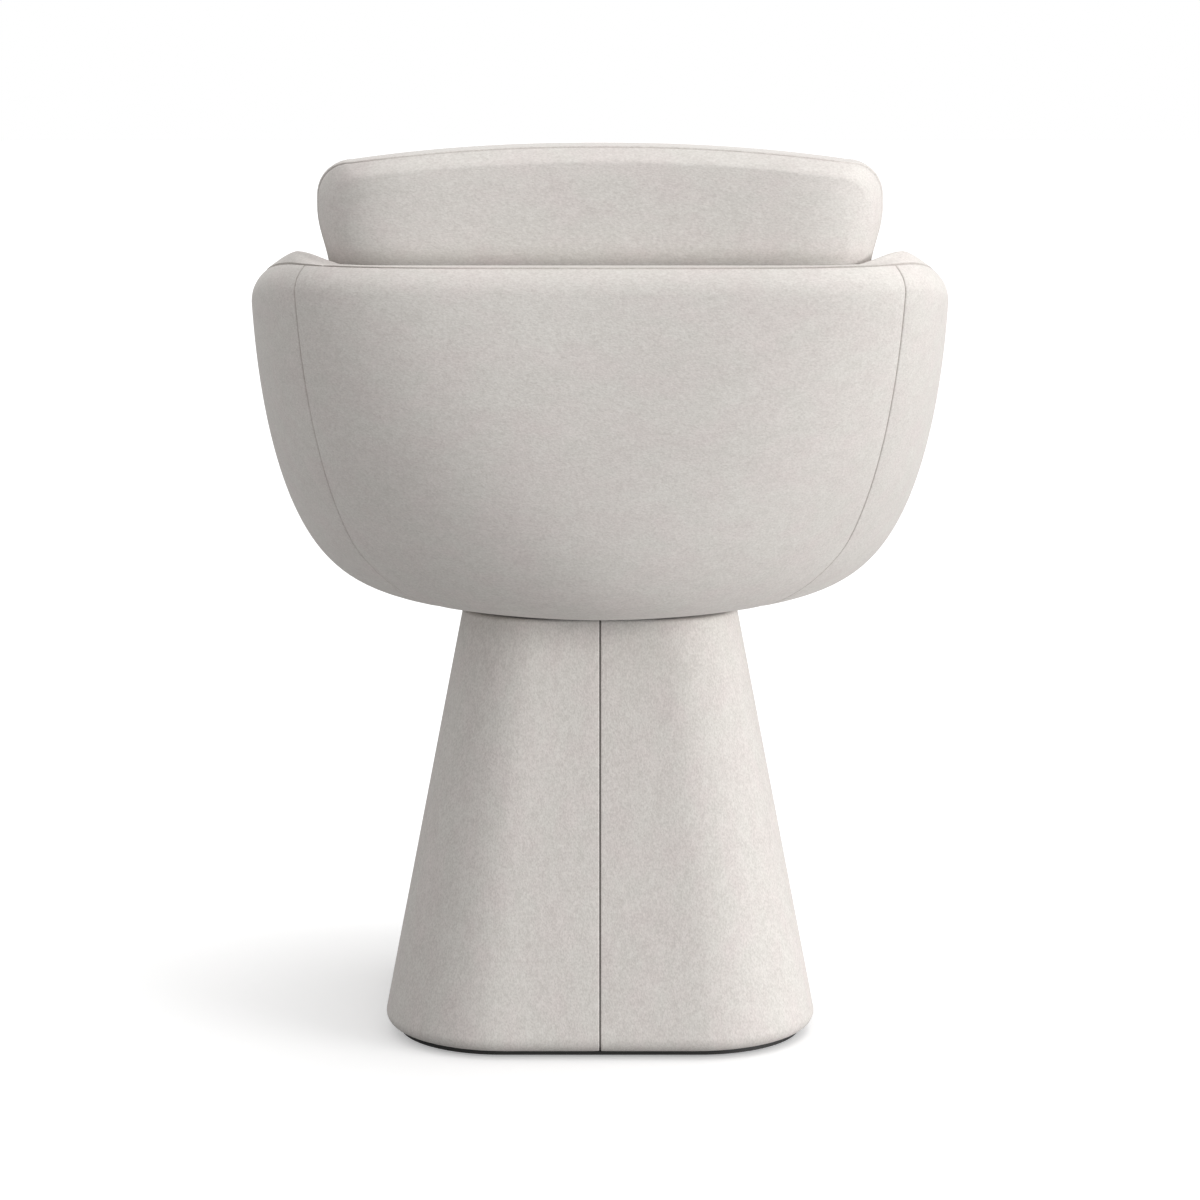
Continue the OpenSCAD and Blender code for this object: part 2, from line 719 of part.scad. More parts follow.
cage_half = race_half - 2;
module ball_cage() color(wood_colour)
    difference() {
        post(ball_circle_r + cage_half, ball_z - cage_t / 2, ball_z + cage_t / 2);
        post(ball_circle_r - cage_half, ball_z - cage_t, ball_z + cage_t);
        for (k = [0 : ball_count - 1])
            rotate(360 * k / ball_count)
                translate([ball_circle_r, 0, 0])
                    post(ball_r + pocket_fit, ball_z - cage_t, ball_z + cage_t);
    }
module bearing_balls() color(steel_colour)
    for (k = [0 : ball_count - 1])
        rotate(360 * k / ball_count)
            translate([ball_circle_r, 0, ball_z])
                sphere(ball_r);

weld_nut_h = 6;
module upper_weld_nuts() color(steel_colour)
    at_corners(upper_bolt_half, upper_bolt_half)
        difference() {
            translate([0, 0, upper_plate_z - weld_nut_h])
                cylinder(r = 2 * bolt_r, h = weld_nut_h, $fn = 6);
            post(bolt_r + hole_fit, upper_plate_z - weld_nut_h - 1, upper_plate_z + 1);
        }

// Mount board with a spigot that fills the hole in the shell
mount_hole_r = pin_r + 10;
module mount_board() color(wood_colour)
    difference() {
        union() {
            post(mount_r, upper_plate_top, upper_plate_top + mount_t);
            post(shell_hole_r - soft_gap, upper_plate_top, seat_board_z);
        }
        post(mount_hole_r, upper_plate_top - 1, seat_board_z + 1);
        at_corners(upper_bolt_half, upper_bolt_half)
            post(bolt_r + hole_fit, upper_plate_top - 1, seat_board_z + 1);
    }

tub_bolt_head_h = 4.5;
tub_washer_t = 1.6;
head_sink = 0.6;
counterbore_z = seat_board_top - tub_bolt_head_h - tub_washer_t - head_sink;
counterbore_r = bolt_head_r + 3;
module seat_board() color(wood_colour)
    difference() {
        post(seat_board_r, seat_board_z, seat_board_top);
        at_corners(upper_bolt_half, upper_bolt_half) {
            post(bolt_r + hole_fit, seat_board_z - 1, seat_board_top + 1);
            post(counterbore_r, counterbore_z, seat_board_top + 1);
        }
    }
module tub_bolts() color(steel_colour)
    at_corners(upper_bolt_half, upper_bolt_half)
        socket_bolt(upper_plate_z - weld_nut_h + 1, counterbore_z + tub_washer_t + tub_bolt_head_h,
                    tub_bolt_head_h);
module bolt_washers() color(steel_colour)
    at_corners(upper_bolt_half, upper_bolt_half)
        difference() {
            post(counterbore_r - 0.5, counterbore_z, counterbore_z + tub_washer_t);
            post(bolt_r + hole_fit, counterbore_z - 1, counterbore_z + tub_washer_t + 1);
        }

dust_cover_t = 0.8;
dust_cover_r = 136;
module dust_cover() color(black_colour)
    difference() {
        post(dust_cover_r, tub_bottom_z - soft_gap - dust_cover_t, tub_bottom_z - soft_gap);
        post(mount_r + soft_gap, tub_bottom_z - 2, tub_bottom_z);
    }

// Moulded shell and outer covers
function shell_column(v, d) =
    concat([ring_point(v, shell_hole_r, tub_bottom_z + d), ring_point(v, shell_flat_r, tub_bottom_z + d)],
           [for (k = [0 : wall_steps]) tub_point(v, mix(foot_angle, shoulder(v), k / wall_steps), d)]);
module tub_shell() color(wood_colour)
    sheet_solid([for (v = all_columns()) shell_column(v, shell_d)],
                [for (v = all_columns()) shell_column(v, shell_inner_d)], true);

function cover_column(v, d) =
    concat([ring_point(v, cover_hole_r, tub_bottom_z + d), ring_point(v, shell_flat_r, tub_bottom_z + d)],
           [for (k = [0 : wall_steps]) tub_point(v, mix(foot_angle, shoulder(v), k / wall_steps), d)],
           [for (k = [1 : round_steps])
               rim_point(v, mix(-profile_lean(shoulder(v)), rim_seam_angle, k / round_steps), d)]);
module cover_panel(from, to) {
    sheet_solid([for (v = columns(from, to)) cover_column(v, 0)],
                [for (v = columns(from, to)) cover_column(v, cover_t)]);
}
module outer_back_cover() color(fabric_colour)
    cover_panel(-1, 1);
module outer_right_cover() color(seam_shade_colour)
    cover_panel(1, 3);
module outer_left_cover() color(seam_shade_colour)
    mirror([1, 0, 0])
        cover_panel(1, 3);
module outer_front_cover() color(fabric_colour)
    cover_panel(3, 5);

// Inner pads. Each fills the space between the shell and the hollow, and crowns over the rim.
back_rim_rise = 0.5;
arm_rim_rise = 10;
lip_rim_rise = 4;
back_inner_r = 8;
arm_inner_r = 34;
lip_inner_r = 14;
arm_rise_start_angle = 38;
arm_rise_end_angle = 55;
rim_gap_angle = 0.9;
pad_row_power = 1.7;
pad_seam_share = 1 - 1 / side_steps;
arm_rise_span = arm_rise_end_angle - arm_rise_start_angle;
function rim_blend(v, back, arm, lip) =
    let (arm_share = ease((rim_angle(v) - arm_rise_start_angle) / arm_rise_span))
    mix(mix(back, arm, arm_share), lip, front_share(v));
function pad_outer_column(v) =
    concat([for (k = [pad_foot_step : wall_steps])
               tub_point(v, mix(foot_angle, shoulder(v), k / wall_steps), pad_d,
                         k == wall_steps ? soft_gap : 0)],
           [tub_point(v, shoulder(v), shell_d, soft_gap)],
           [for (k = [1 : round_steps])
               rim_point(v, mix(-profile_lean(shoulder(v)), rim_seam_angle + rim_gap_angle, k / round_steps),
                         shell_d)],
           [rim_point(v, rim_seam_angle + rim_gap_angle, 0)]);
pad_low_z = tub_point(0, mix(foot_angle, shoulder(0), pad_foot_step / wall_steps), pad_d)[2];
function crown_height(share, crest_share, rise, inner_r) =
    share < crest_share
    ? rise * sqrt(1 - pow(1 - share / crest_share, 2))
    : rise - inner_r * (1 - sqrt(max(0, 1 - pow((share - crest_share) / (1 - crest_share), 2))));
function pad_inner_column(v) =
    let (seam = rim_point(v, rim_seam_angle + rim_gap_angle, 0),
         under = rim_point(v, rim_seam_angle + rim_gap_angle, shell_d),
         rise = rim_blend(v, back_rim_rise, arm_rim_rise, lip_rim_rise),
         inner_r = rim_blend(v, back_inner_r, arm_inner_r, lip_inner_r),
         wall = cavity_point(v, seam.z + rise - inner_r),
         first = norm([seam.x - under.x, seam.y - under.y]),
         across = first + norm([under.x - wall.x, under.y - wall.y]),
         crest_share = 1 - min(0.8, inner_r / across))
    concat([for (k = [0 : pad_steps])
               cavity_point(v, mix(pad_low_z, seam.z + rise - inner_r, pow(k / pad_steps, pad_row_power)))],
           [for (share = concat([for (k = [1 : round_steps - 1])
                                    mix(1, crest_share, 1 - pow(1 - k / (round_steps - 1), 1.6))],
                                [for (k = [0.55, 0.22, 0.05]) k * crest_share]))
               let (go = share * across,
                    p = go < first ? mix(seam, under, go / first)
                                   : mix(under, wall, (go - first) / (across - first)))
               [p.x, p.y, seam.z + crown_height(share, crest_share, rise, inner_r)]]);
module inner_pad(from, to) {
    sheet_solid([for (v = columns(from, to)) pad_outer_column(v)],
                [for (v = columns(from, to)) pad_inner_column(v)], hook_row = pad_steps);
}
module inner_back_panel() color(fabric_colour)
    inner_pad(-pad_seam_share, pad_seam_share);
module inner_right_arm_pad() color(fabric_colour)
    inner_pad(pad_seam_share, 3);
module inner_left_arm_pad() color(fabric_colour)
    mirror([1, 0, 0])
        inner_pad(pad_seam_share, 3);
module front_lip_pad() color(fabric_colour)
    inner_pad(3, 5);

// Seat cushion: a flat underside, sides drawn in between two edge seams, and a crowned top
function seat_ring(z, inset) = [for (v = all_columns()) cavity_point(v, z, inset)];
function seat_top_ring(share) =
    let (z = seat_top_z - seat_crown * share * share)
    [for (p = seat_ring(seat_side_z, cushion_gap + seat_edge_r)) [p.x * share, p.y * share, z]];
module seat_cushion() color(fabric_colour)
    ringed_solid(
        [0, 0, seat_z],
        concat([seat_ring(seat_z, seat_under_inset),
                seat_ring(seat_z + seat_under_rise, seat_under_inset / 2),
                seat_ring(pad_low_z, seat_low_inset),
                seat_ring(pad_low_z + seat_low_rise, cushion_gap + seat_waist / 2),
                seat_ring(mix(pad_low_z, seat_side_z, 0.6), cushion_gap + seat_waist)],
               [for (k = [0 : round_steps])
                   let (a = 80 * k / round_steps, top = seat_top_z - seat_crown)
                   [for (p = seat_ring(seat_side_z, cushion_gap + seat_edge_r * (1 - cos(a))))
                       [p.x, p.y, mix(seat_side_z, top, sin(a))]]],
               [for (share = [1, 0.8, 0.55, 0.28]) seat_top_ring(share)]),
        [0, 0, seat_top_z]);

// Back cushion, built through rings that lie across its thickness
function swell(z) = back_swell * ease((z - swell_from) / swell_span);
function back_half(z) =
    let (power = cavity_power(depth_at(z)),
         at = 1 - back_wide_share * back_cushion_t / cavity_back(z))
    (cavity_half_w(z) - back_corner_gap + swell(z)) * pow(1 - pow(at, power), 1 / power) - soft_gap;
function back_arch_z(x) = back_top_z - back_arch * pow(abs(x) / arch_half_w, 2.2);
function back_half_outline() =
    let (low = back_half(back_z + back_low_corner_r),
         high = back_half(back_top_z - back_corner_r - back_arch),
         corner_x = high - back_corner_r,
         corner_z = back_arch_z(corner_x) - back_corner_r)
    concat([for (k = [0 : 3]) [k / 3 * (low - back_low_corner_r), back_z]],
           [for (a = [30, 60])
               [low - back_low_corner_r + back_low_corner_r * sin(a),
                back_z + back_low_corner_r * (1 - cos(a))]],
           [for (k = [0 : 7])
               let (z = mix(back_z + back_low_corner_r, corner_z, k / 7)) [back_half(z), z]],
           [for (a = [20, 40, 60]) [corner_x + back_corner_r * cos(a), corner_z + back_corner_r * sin(a)]],
           [for (k = [0 : 6]) let (x = corner_x * (1 - k / 6)) [x, back_arch_z(x)]]);
function back_outline() =
    let (half = back_half_outline(), n = len(half))
    concat([for (p = half) [-p[0], p[1]]], [for (i = [n - 2 : -1 : 1]) half[i]]);
back_mid_z = (back_z + back_top_z) / 2;
function back_limit(x, z) =
    let (power = cavity_power(depth_at(z)), reach = cavity_half_w(z) - back_corner_gap + swell(z))
    cavity_back(z) * pow(1 - pow(min(0.999, abs(x) / reach), power), 1 / power) - back_gap;
// A ring at inset e from the outline; front is its share of the way to the front, forward its offset
function back_ring(e, front, offset) =
    let (half_h = back_cushion_h / 2)
    [for (p = back_outline())
        let (x = p[0] * (1 - e / back_half(back_top_z)),
             z = back_mid_z + (p[1] - back_mid_z) * (1 - e / half_h),
             rear = cavity_back(z) - back_gap)
        [x, min(back_limit(x, z), rear - back_cushion_t * front + offset), z]];
function back_face_ring(share, front, offset) =
    back_ring((1 - share) * back_cushion_h / 2, front, offset);
module back_cushion() color(fabric_colour)
    ringed_solid(
        [0, cavity_back(back_mid_z) - back_gap, back_mid_z],
        concat([back_face_ring(0.3, 0, 0), back_face_ring(0.62, 0, -0.5)],
               [for (a = [0, 30, 60, 90])
                   back_ring(back_rear_r * (1 - sin(a)), 0, -1 - back_rear_r * (1 - cos(a)))],
               [for (a = [90, 55, 25, 0])
                   back_ring(back_front_r * (1 - sin(a)), 1, back_front_r * (1 - cos(a)))],
               [back_face_ring(0.62, 1, -back_crown * 0.6), back_face_ring(0.3, 1, -back_crown * 0.9)]),
        [0, cavity_back(back_mid_z) - back_gap - back_cushion_t - back_crown, back_mid_z]);

floor_glides();
glide_screws();
plinth();
plinth_screws();
base_board();
ballast_blocks();
ballast_screws();
rib_lengthwise();
rib_crosswise();
top_board();
board_screws();
pedestal_skin();
pedestal_foam();
pedestal_cover();
swivel_lower_plate();
lower_race();
centre_pin();
pin_washer();
lower_plate_bolts();
lower_tee_nuts();
ball_cage();
bearing_balls();
upper_race();
swivel_upper_plate();
upper_weld_nuts();
mount_board();
dust_cover();
tub_shell();
seat_board();
tub_bolts();
bolt_washers();
outer_back_cover();
outer_left_cover();
outer_right_cover();
outer_front_cover();
inner_back_panel();
inner_left_arm_pad();
inner_right_arm_pad();
front_lip_pad();
seat_cushion();
back_cushion();
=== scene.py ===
"""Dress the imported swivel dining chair: upholstery, finishes of the inner pieces, floor, lamps and camera."""

import json
import logging
import math
from collections.abc import Callable, Sequence
from dataclasses import dataclass, field
from enum import Enum

import bmesh
import bpy
import numpy as np
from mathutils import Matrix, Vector
from mathutils.kdtree import KDTree


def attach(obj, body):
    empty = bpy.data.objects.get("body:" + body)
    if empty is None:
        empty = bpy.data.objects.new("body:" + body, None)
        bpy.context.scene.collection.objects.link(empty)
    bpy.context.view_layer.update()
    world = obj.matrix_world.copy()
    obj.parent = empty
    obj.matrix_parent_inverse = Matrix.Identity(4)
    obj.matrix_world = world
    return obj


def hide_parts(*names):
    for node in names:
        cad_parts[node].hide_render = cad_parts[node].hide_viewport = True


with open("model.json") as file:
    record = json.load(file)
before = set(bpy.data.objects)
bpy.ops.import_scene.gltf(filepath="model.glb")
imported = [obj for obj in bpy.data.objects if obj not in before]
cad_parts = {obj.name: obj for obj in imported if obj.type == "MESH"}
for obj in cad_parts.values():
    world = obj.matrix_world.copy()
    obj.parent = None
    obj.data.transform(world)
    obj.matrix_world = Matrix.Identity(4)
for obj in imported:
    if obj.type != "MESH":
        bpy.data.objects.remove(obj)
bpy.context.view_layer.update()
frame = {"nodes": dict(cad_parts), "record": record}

LOG = logging.getLogger("chair")
MM = 0.001

Grid = np.ndarray
Colour = tuple[float, float, float]


def mix(low: Grid | float, high: Grid | float, share: Grid | float) -> Grid | float:
    """Return the value that lies a share of the way from low to high."""
    return low + (high - low) * share


def ease(share: Grid | float) -> Grid:
    """Return a share from 0 to 1 with a soft start and end."""
    held = np.clip(share, 0.0, 1.0)
    return held * held * (3.0 - 2.0 * held)


def sine(angle: Grid | float) -> Grid:
    """Return the sine of an angle in degrees."""
    return np.sin(np.radians(angle))


def cosine(angle: Grid | float) -> Grid:
    """Return the cosine of an angle in degrees."""
    return np.cos(np.radians(angle))


def arc_sine(share: Grid | float) -> Grid:
    """Return in degrees the angle whose sine is given."""
    return np.degrees(np.arcsin(share))


def signed_power(value: Grid, power: Grid | float) -> Grid:
    """Raise the size of a value to a power and keep its sign."""
    return np.sign(value) * np.abs(value) ** power


def only(piece: bpy.types.Object) -> None:
    """Select one piece alone and make it the active one.

    Args:
        piece: The piece.
    """
    bpy.ops.object.select_all(action="DESELECT")
    bpy.context.view_layer.objects.active = piece
    piece.select_set(True)


def points_of(piece: bpy.types.Object) -> Grid:
    """Return the places of a piece's vertices.

    Args:
        piece: The piece.

    Returns:
        One row for each vertex, in metres.
    """
    flat = np.empty(len(piece.data.vertices) * 3, np.float32)
    piece.data.vertices.foreach_get("co", flat)
    return flat.reshape(-1, 3).astype(float)


def put_points(piece: bpy.types.Object, points: Grid) -> None:
    """Move a piece's vertices to new places, in metres."""
    piece.data.vertices.foreach_set("co", points.astype(np.float32).ravel())
    piece.data.update()


def new_piece(name: str, points: Grid, faces: Sequence[Sequence[int]]) -> bpy.types.Object:
    """Make a piece from points and faces, turn its faces outwards and split its largest faces.

    Args:
        name: Name of the piece.
        points: Places of its vertices, in metres.
        faces: Rows of vertex numbers.

    Returns:
        The new object, which sits at the origin.
    """
    mesh = bpy.data.meshes.new(name)
    mesh.from_pydata(points.tolist(), [], faces)
    work = bmesh.new()
    work.from_mesh(mesh)
    ends = [face for face in work.faces if len(face.verts) > 4]
    if ends:
        bmesh.ops.triangulate(work, faces=ends, ngon_method="EAR_CLIP")
    bmesh.ops.recalc_face_normals(work, faces=work.faces[:])
    work.to_mesh(mesh)
    work.free()
    piece = bpy.data.objects.new(name, mesh)
    bpy.context.scene.collection.objects.link(piece)
    return piece


def smooth(piece: bpy.types.Object, angle: float = 48.0) -> None:
    """Shade a piece smoothly, apart from edges sharper than an angle in degrees."""
    only(piece)
    bpy.ops.object.shade_smooth_by_angle(angle=math.radians(angle))


def grid_normals(grid: Grid, turned: bool) -> Grid:
    """Return the unit normals of a grid of points.

    Args:
        grid: Points, as columns of rows.
        turned: True where the side that shows lies the other way round.

    Returns:
        A unit vector for each point.
    """
    across = np.gradient(grid, axis=0)
    along = np.gradient(grid, axis=1)
    normal = np.cross(across, along)
    size = np.linalg.norm(normal, axis=2, keepdims=True)
    normal = normal / np.maximum(size, 1e-12)
    return -normal if turned else normal


def distance_along(grid: Grid, axis: int, from_end: bool) -> Grid:
    """Return how far each point of a grid lies from one of its edges, measured along the grid.

    Args:
        grid: Points, as columns of rows.
        axis: 0 to measure across the columns, 1 to measure along a column.
        from_end: True to measure from the last column or row.

    Returns:
        A distance for each point, in the grid's own unit.
    """
    steps = np.linalg.norm(np.diff(grid, axis=axis), axis=2)
    pad = [(0, 0), (0, 0)]
    pad[axis] = (1, 0)
    total = np.cumsum(np.pad(steps, pad), axis=axis)
    if not from_end:
        return total
    last = total[-1:, :] if axis == 0 else total[:, -1:]
    return last - total


def closed_piece(name: str, front: Grid, hidden: Grid, ring: bool = False) -> bpy.types.Object:
    """Make a closed piece between the grid that shows and a grid behind it.

    Args:
        name: Name of the piece.
        front: Points of the side that shows, as columns of rows, in metres.
        hidden: Points behind it, in as many columns.
        ring: True where the last column joins the first.

    Returns:
        The new object.
    """
    columns, rows = front.shape[:2]
    behind = hidden.shape[1]
    start = columns * rows
    faces: list[tuple[int, ...]] = []
    for i in range(columns if ring else columns - 1):
        a, b = i * rows, (i + 1) % columns * rows
        c, d = start + i * behind, start + (i + 1) % columns * behind
        faces += [(a + j, b + j, b + j + 1, a + j + 1) for j in range(rows - 1)]
        faces += [(c + j, c + j + 1, d + j + 1, d + j) for j in range(behind - 1)]
        faces.append((a, c, d, b))
        faces.append((a + rows - 1, b + rows - 1, d + behind - 1, c + behind - 1))
    if not ring:
        for i in (0, columns - 1):
            shown = range(i * rows, (i + 1) * rows)
            back = range(start + (i + 1) * behind - 1, start + i * behind - 1, -1)
            faces.append((*shown, *back))
    points = np.concatenate([front.reshape(-1, 3), hidden.reshape(-1, 3)])
    piece = new_piece(name, points, faces)
    smooth(piece)
    return piece


@dataclass(frozen=True)
class SeamFold:
    """How fabric turns in at a sewn edge, in metres: a tight fold, a wide shallow pull and a thin slit."""

    fold_r: float = 1.5 * MM
    pull: float = 0.35 * MM
    pull_reach: float = 7.0 * MM
    slit: float = 0.0
    slit_reach: float = 0.2 * MM

    def depth(self, distance: Grid) -> Grid:
        """Return how deep the fabric lies near a seam.

        Args:
            distance: Distances from the seam, in metres.

        Returns:
            The depth at each of them, in metres.
        """
        near = np.clip(1.0 - distance / self.fold_r, 0.0, 1.0)
        fold = self.fold_r * (1.0 - np.sqrt(1.0 - near * near))
        slit = self.slit * np.exp(-((distance / self.slit_reach) ** 2))
        return fold + slit + self.pull * np.exp(-((distance / self.pull_reach) ** 2))

    def fold_in(self, grid: Grid, turned: bool, edges: Sequence[tuple[int, bool]]) -> Grid:
        """Turn a grid in along some of its edges.

        Args:
            grid: Points of the side that shows.
            turned: True where the side that shows lies the other way round.
            edges: Pairs of a grid axis and whether its last edge is meant.

        Returns:
            The points, moved inwards.
        """
        depth = np.zeros(grid.shape[:2])
        for axis, from_end in edges:
            depth = np.maximum(depth, self.depth(distance_along(grid, axis, from_end)))
        return grid - grid_normals(grid, turned) * depth[:, :, None]


@dataclass(frozen=True)
class TubForm:
    """The tub's outer form and the hollow in it, in millimetres, from the sizes that the CAD has.

    A column v runs from 0 at the back through 1, 2 and 3 (back seam, side, front seam) to 4 at the front.
    """

    half_w: float = 305.0
    back: float = 285.0
    front: float = 336.0
    height: float = 294.0
    wide_z: float = 677.7
    bottom_z: float = 383.7
    power_top: float = 4.0
    power_bottom: float = 1.8
    front_power_bottom: float = 2.6
    plan_bend: float = 1.5
    r_power: float = 6.45
    z_power: float = 2.17
    rim_r: float = 30.0
    lip_r: float = 20.0
    arm_fall: float = 47.0
    arm_fall_start: float = 48.0
    arm_fall_span: float = 74.0
    front_fall: float = 200.0
    front_start: float = 105.0
    front_span: float = 55.0
    seam_top: float = 0.836
    seam_loss: float = 0.05
    seam_foot_loss: float = 0.055
    seam_foot_start: float = 0.75
    front_seam: float = 0.8
    foot_share: float = 0.98
    arm_t: float = 70.0
    arm_low_t: float = 45.0
    back_pad_t: float = 33.0
    lip_t: float = 45.0
    hollow_power_top: float = 8.0
    hollow_power_bottom: float = 1.75
    hollow_front_power_bottom: float = 3.0
    hollow_bend: float = 1.8

    def depth_share(self, w: Grid) -> Grid:
        """Return the share of the height at profile angle w."""
        return sine(w) ** (2.0 / self.z_power)

    def width_share(self, w: Grid) -> Grid:
        """Return the share of the width at profile angle w."""
        return cosine(w) ** (2.0 / self.r_power)

    def lean(self, w: Grid) -> Grid:
        """Return how far the surface faces downwards.

        Args:
            w: Profile angles.

        Returns:
            The angle at each of them, in degrees.
        """
        mean_half = (self.half_w + self.back) / 2.0
        slope = mean_half / self.height * self.z_power / self.r_power
        slope = slope * cosine(w) ** (2.0 / self.r_power - 2.0) * sine(w) ** (2.0 - 2.0 / self.z_power)
        return np.degrees(np.arctan(slope))

    def outer_power(self, u: Grid, v: Grid | float) -> Grid:
        """Return the squareness of the plan at depth share u."""
        bottom = np.where(np.abs(v) > 2.0, self.front_power_bottom, self.power_bottom)
        return mix(bottom, self.power_top, (1.0 - u) ** self.plan_bend)

    def hollow_power(self, u: Grid, v: Grid | float) -> Grid:
        """Return the squareness of the hollow's plan at depth share u."""
        bottom = np.where(np.abs(v) > 2.0, self.hollow_front_power_bottom, self.hollow_power_bottom)
        return mix(bottom, self.hollow_power_top, (1.0 - u) ** self.hollow_bend)

    def column_angle(self, v: Grid, u: Grid | float) -> Grid:
        """Return the plan angle of a column, measured from the back.

        Args:
            v: Columns.
            u: Depth shares.

        Returns:
            Angles in degrees.
        """
        size = np.abs(v)
        foot = ease((u - self.seam_foot_start) / (1.0 - self.seam_foot_start))
        share = self.seam_top - self.seam_loss * u - self.seam_foot_loss * foot
        back_seam = arc_sine(share ** (self.outer_power(u, 0.0) / 2.0))
        front_seam = 180.0 - arc_sine(self.front_seam ** (self.outer_power(u, 4.0) / 2.0))
        angle = np.where(
            size <= 1.0,
            size * back_seam,
            np.where(
                size <= 2.0,
                mix(back_seam, 90.0, size - 1.0),
                np.where(size <= 3.0, mix(90.0, front_seam, size - 2.0), mix(front_seam, 180.0, size - 3.0)),
            ),
        )
        return np.sign(v) * angle

    def plan(self, angle: Grid, power: Grid, inset: Grid, share: Grid) -> tuple[Grid, Grid]:
        """Return x and y of the outer form's plan.

        Args:
            angle: Plan angle from the back.
            power: Squareness of the plan.
            inset: Distance inside the outer form.
            share: Share of the width at this level.

        Returns:
            The two coordinates.
        """
        reach = np.where(cosine(angle) > 0.0, self.back, self.front) * share - inset
        x = (self.half_w * share - inset) * signed_power(sine(angle), 2.0 / power)
        return x, reach * signed_power(cosine(angle), 2.0 / power)

    def rim_angle(self, v: Grid) -> Grid:
        """Return the plan angle of column v at the rim, without its sign."""
        return np.abs(self.column_angle(v, 0.0))

    def front_share(self, v: Grid) -> Grid:
        """Return how far column v belongs to the front lip, from 0 to 1."""
        return ease((self.rim_angle(v) - self.front_start) / self.front_span)

    def shoulder(self, v: Grid) -> Grid:
        """Return the profile angle at which the rim rounding starts.

        Args:
            v: Columns.

        Returns:
            The angle at each of them, in degrees.
        """
        arm_drop = self.arm_fall * ease((self.rim_angle(v) - self.arm_fall_start) / self.arm_fall_span)
        drop = arm_drop + self.front_fall * self.front_share(v)
        return arc_sine((drop / self.height) ** (self.z_power / 2.0))

    def wall(self, v: Grid, w: Grid, depth: float) -> Grid:
        """Return points under the outer wall.

        Args:
            v: Columns.
            w: Profile angles.
            depth: Depth under the outer surface.

        Returns:
            Points in metres.
        """
        u = self.depth_share(w)
        lean = self.lean(w)
        x, y = self.plan(
            self.column_angle(v, u), self.outer_power(u, v), depth * cosine(lean), self.width_share(w)
        )
        z = self.wide_z - self.height * u + depth * sine(lean)
        return np.stack(np.broadcast_arrays(x, y, z), axis=-1) * MM

    def rim(self, v: Grid, angle: Grid, depth: float) -> Grid:
        """Return points under the rim rounding.

        Args:
            v: Columns.
            angle: Angles above the level direction.
            depth: Depth under the outer surface.

        Returns:
            Points in metres.
        """
        w = self.shoulder(v)
        u = self.depth_share(w)
        lean = self.lean(w)
        r = mix(self.rim_r, self.lip_r, self.front_share(v))
        inset = r * cosine(lean) - (r - depth) * cosine(angle)
        x, y = self.plan(self.column_angle(v, u), self.outer_power(u, v), inset, self.width_share(w))
        z = self.wide_z - self.height * u + r * sine(lean) + (r - depth) * sine(angle)
        return np.stack(np.broadcast_arrays(x, y, z), axis=-1) * MM

    def depth_at(self, z: Grid | float) -> Grid:
        """Return the depth share at a height."""
        return np.clip((self.wide_z - z) / self.height, 0.0, self.foot_share)

    def width_at(self, z: Grid | float) -> Grid:
        """Return the share of the width at a height."""
        return (1.0 - self.depth_at(z) ** self.z_power) ** (1.0 / self.r_power)

    def hollow_half_w(self, z: Grid | float) -> Grid:
        """Return half of the hollow's width at a height."""
        return self.half_w * self.width_at(z) - mix(self.arm_t, self.arm_low_t, self.depth_at(z))

    def hollow_back(self, z: Grid | float) -> Grid:
        """Return the hollow's reach behind the swivel axis at a height."""
        return self.back * self.width_at(z) - self.back_pad_t

    def hollow(self, v: Grid, z: Grid, inset: Grid | float = 0.0) -> Grid:
        """Return points on the wall of the hollow, or inset from it.

        Args:
            v: Columns.
            z: Heights.
            inset: Distance in front of the wall.

        Returns:
            Points in metres.
        """
        u = self.depth_at(z)
        angle = self.column_angle(v, u)
        power = self.hollow_power(u, v)
        ahead = self.front * self.width_at(z) - self.lip_t
        reach = np.where(cosine(angle) > 0.0, self.hollow_back(z), ahead) - inset
        x = (self.hollow_half_w(z) - inset) * signed_power(sine(angle), 2.0 / power)
        y = reach * signed_power(cosine(angle), 2.0 / power)
        return np.stack(np.broadcast_arrays(x, y, z), axis=-1) * MM


class Panel(Enum):
    """The four sewn panels round the tub, as the columns that they run between."""

    BACK = (-1.0, 1.0)
    RIGHT = (1.0, 3.0)
    FRONT = (3.0, 5.0)
    LEFT = (5.0, 7.0)

    def columns(
        self, seam_gap: float, back_seam: float = 1.0, margin: float = 0.125, count: int = 50
    ) -> Grid:
        """Return the panel's columns, close together at its two seams, as a column vector.

        Args:
            seam_gap: Width of the open line at a seam, as a share of a column.
            back_seam: Column of the two seams at the back.
            margin: Width of the closely spaced part at each seam, as a share of a column.
            count: How many columns lie between those parts.

        Returns:
            The columns, wrapped to the span from -4 to 4.
        """
        near = np.array([0.0, 0.9, 2.0, 3.4, 5.2, 8.0, 13.0, 20.0, 30.0, 45.0, 65.0, 90.0]) / 1000.0
        near = near + seam_gap / 2.0
        moved = {-1.0: -back_seam, 1.0: back_seam, 7.0: 8.0 - back_seam}
        start, end = (moved.get(column, column) for column in self.value)
        middle = np.linspace(start + margin, end - margin, count)
        v = np.concatenate([start + near, middle, (end - near)[::-1]])
        return np.where(v > 4.0, v - 8.0, v)[:, None]


